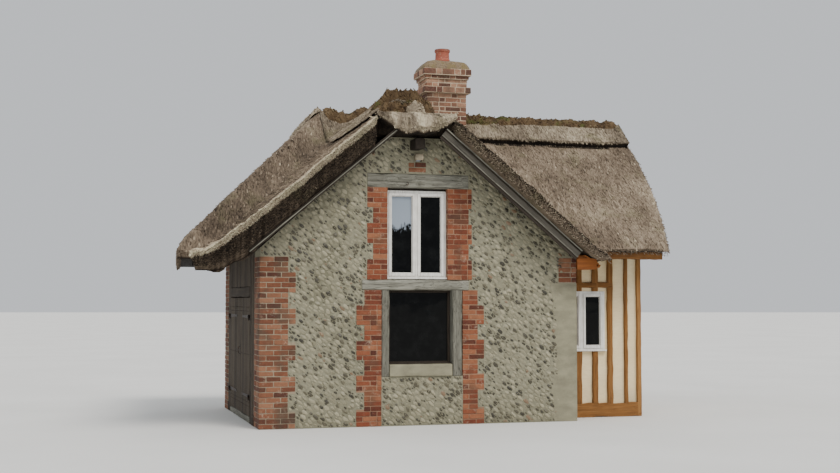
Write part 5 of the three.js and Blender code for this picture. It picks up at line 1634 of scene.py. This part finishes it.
def rear_dressings():
    """Brick, lintel and sill of the rear wall; returns the places that its flints keep clear of"""
    rng = np.random.default_rng(151)
    (x0, _, z0), (x1, _, z1) = around("rear_window_frame")
    lot = Lot()
    lap, depth, corner_top = 0.07 + JOINT, 0.07, 2.8
    for face, out in ((x0, -1), (x1, 1)):
        brick_face(lot, 1, BACK, 1, toothed(face, face + out * 0.2, face + out * 0.29, z0 - 0.15, z1),
                   (z0 - 0.15, z1), rng, depth)
    for face, short, long in ((LEFT, -1.9, -1.79), (RIGHT, 3.5, 3.39)):
        brick_face(lot, 1, BACK, 1, toothed(face, short, long, 0.0, corner_top, lap), (0.0, corner_top), rng,
                   depth, None)

    def span(z, number):
        under_reed = RIDGE_Y + (RIDGE_Z - MAIN_THICK - 0.04 - z) / MAIN_FALL
        return 3.46, min(BACK + PROUD if number % 2 else BACK - lap, under_reed)

    for face, sign, top in ((LEFT, -1, corner_top), (RIGHT, 1, 3.1)):
        brick_face(lot, 0, face, sign, span, (0.0, top), rng, depth, 1)
    lot.piece("bricks_rear", QUOIN_BRICK, "brick")
    y, z = BACK + 0.008, z1 + 0.085
    timber("rear_lintel", GREY_OAK, "grey_timber",
           ((x0 - 0.3, y, z), (x1 + 0.3, y, z), 0.17, 0.2, REAR, rng, 0.006, 0.5))
    y, z = BACK + 0.03, z0 - 0.045
    timber("rear_sill", CEMENT, "concrete",
           ((x0 - 0.02, y, z), (x1 + 0.02, y, z), 0.09, 0.16, REAR, rng, 0.003, 0.5, 14.0))
    return [(x0 - 0.3, x0 + 0.05, z0 - 0.16, z1 + 0.18), (x1 - 0.05, x1 + 0.3, z0 - 0.16, z1 + 0.18),
            (x0 - 0.31, x1 + 0.31, z1 - 0.02, z1 + 0.18), (x0 - 0.03, x1 + 0.03, z0 - 0.1, z0),
            (LEFT - 0.01, LEFT + 0.53, -0.1, 2.81), (RIGHT - 0.53, RIGHT + 0.01, -0.1, 2.81)]


def stones():
    """Flints of the front gable and of the rear wall"""
    patch, lamp_plate = (-0.11, 0.18, 3.74, 3.915), (0.0, 0.1, 3.95, 4.05)
    for number, (part, keep_out) in enumerate((("gable_left", ()), ("gable_right", ()),
                                               ("gable_top", (patch, lamp_plate)), ("under_window", ()))):
        flints("flint_" + part, 1, -1, 201 + number, keep_out)
    keep_out = rear_dressings()
    for number, part in enumerate(("left", "right", "over_window", "under_window")):
        flints("rear_wall_" + part, 1, 1, 205 + number, keep_out, 0.05, 0.016)


# Putting it together

def dress_nodes():
    """Gives the frame's nodes that stay their finish, by the start of their names"""
    finishes = (("flint_", FLINT_MORTAR), ("rear_wall", FLINT_MORTAR), ("brick_quoin", QUOIN_MORTAR),
                ("chimney_stack", STACK_MORTAR), ("chimney_head", STACK_MORTAR), ("brick_", BRICK_MORTAR),
                ("wing_wall", LIMEWASH), ("end_wall", LIMEWASH), ("ground_floor", CEMENT),
                ("upper_floor", CEMENT))
    for name, node in nodes.items():
        fitting = [finish for start, finish in finishes if name.startswith(start)]
        chosen = [GLASS] if name.endswith("_glass") else fitting
        if chosen:
            node.data.materials.clear()
            node.data.materials.append(chosen[0])


def turn_to(made, aim):
    made.rotation_euler = Vector(aim).to_track_quat("-Z", "Y").to_euler()


def studio():
    """Plain floor, soft light and a camera where the photograph was taken"""
    mesh = bpy.data.meshes.new("studio_floor")
    reach = 400
    mesh.from_pydata([(x * reach, y * reach, -0.002) for x, y in ((-1, -1), (1, -1), (1, 1), (-1, 1))], [],
                     [(0, 1, 2, 3)])
    mesh.materials.append(floor_finish())
    link("studio_floor", mesh)

    world = bpy.data.worlds.new("soft_daylight")
    world.use_nodes = True
    soft = world.node_tree.nodes["Background"].inputs
    soft["Color"].default_value, soft["Strength"].default_value = (0.93, 0.96, 1.0, 1.0), 0.75
    bpy.context.scene.world = world
    for name, aim, energy, softness, colour in (("key", (-0.35, 0.75, -1.0), 2.4, 26, (1.0, 0.96, 0.9)),
                                                ("top", (0.0, 0.35, -1.0), 0.7, 120, (0.94, 0.97, 1.0)),
                                                ("fill", (0.9, 0.8, -0.7), 0.35, 60, (0.92, 0.96, 1.0))):
        sun = bpy.data.lights.new(name, "SUN")
        sun.energy, sun.angle, sun.color = energy, math.radians(softness), colour
        turn_to(link(name, sun), aim)

    data = bpy.data.cameras.new("from_the_garden")
    data.lens, data.sensor_width, data.clip_end = 54.0, 36.0, 200.0
    camera = link("from_the_garden", data)
    camera.location = Vector((-5.05, -18.04, 1.84)) - Vector(MIDDLE)
    turn_to(camera, Vector((0.42, 1.2, 2.86)) - Vector(MIDDLE) - camera.location)
    bpy.context.scene.camera = camera


for make in (studio, thatch, stones, dressings, corner_render, gable_timbers, eave_boards, gable_details,
             windows, half_timbering, boarded_wall, chimney, dress_nodes):
    make()
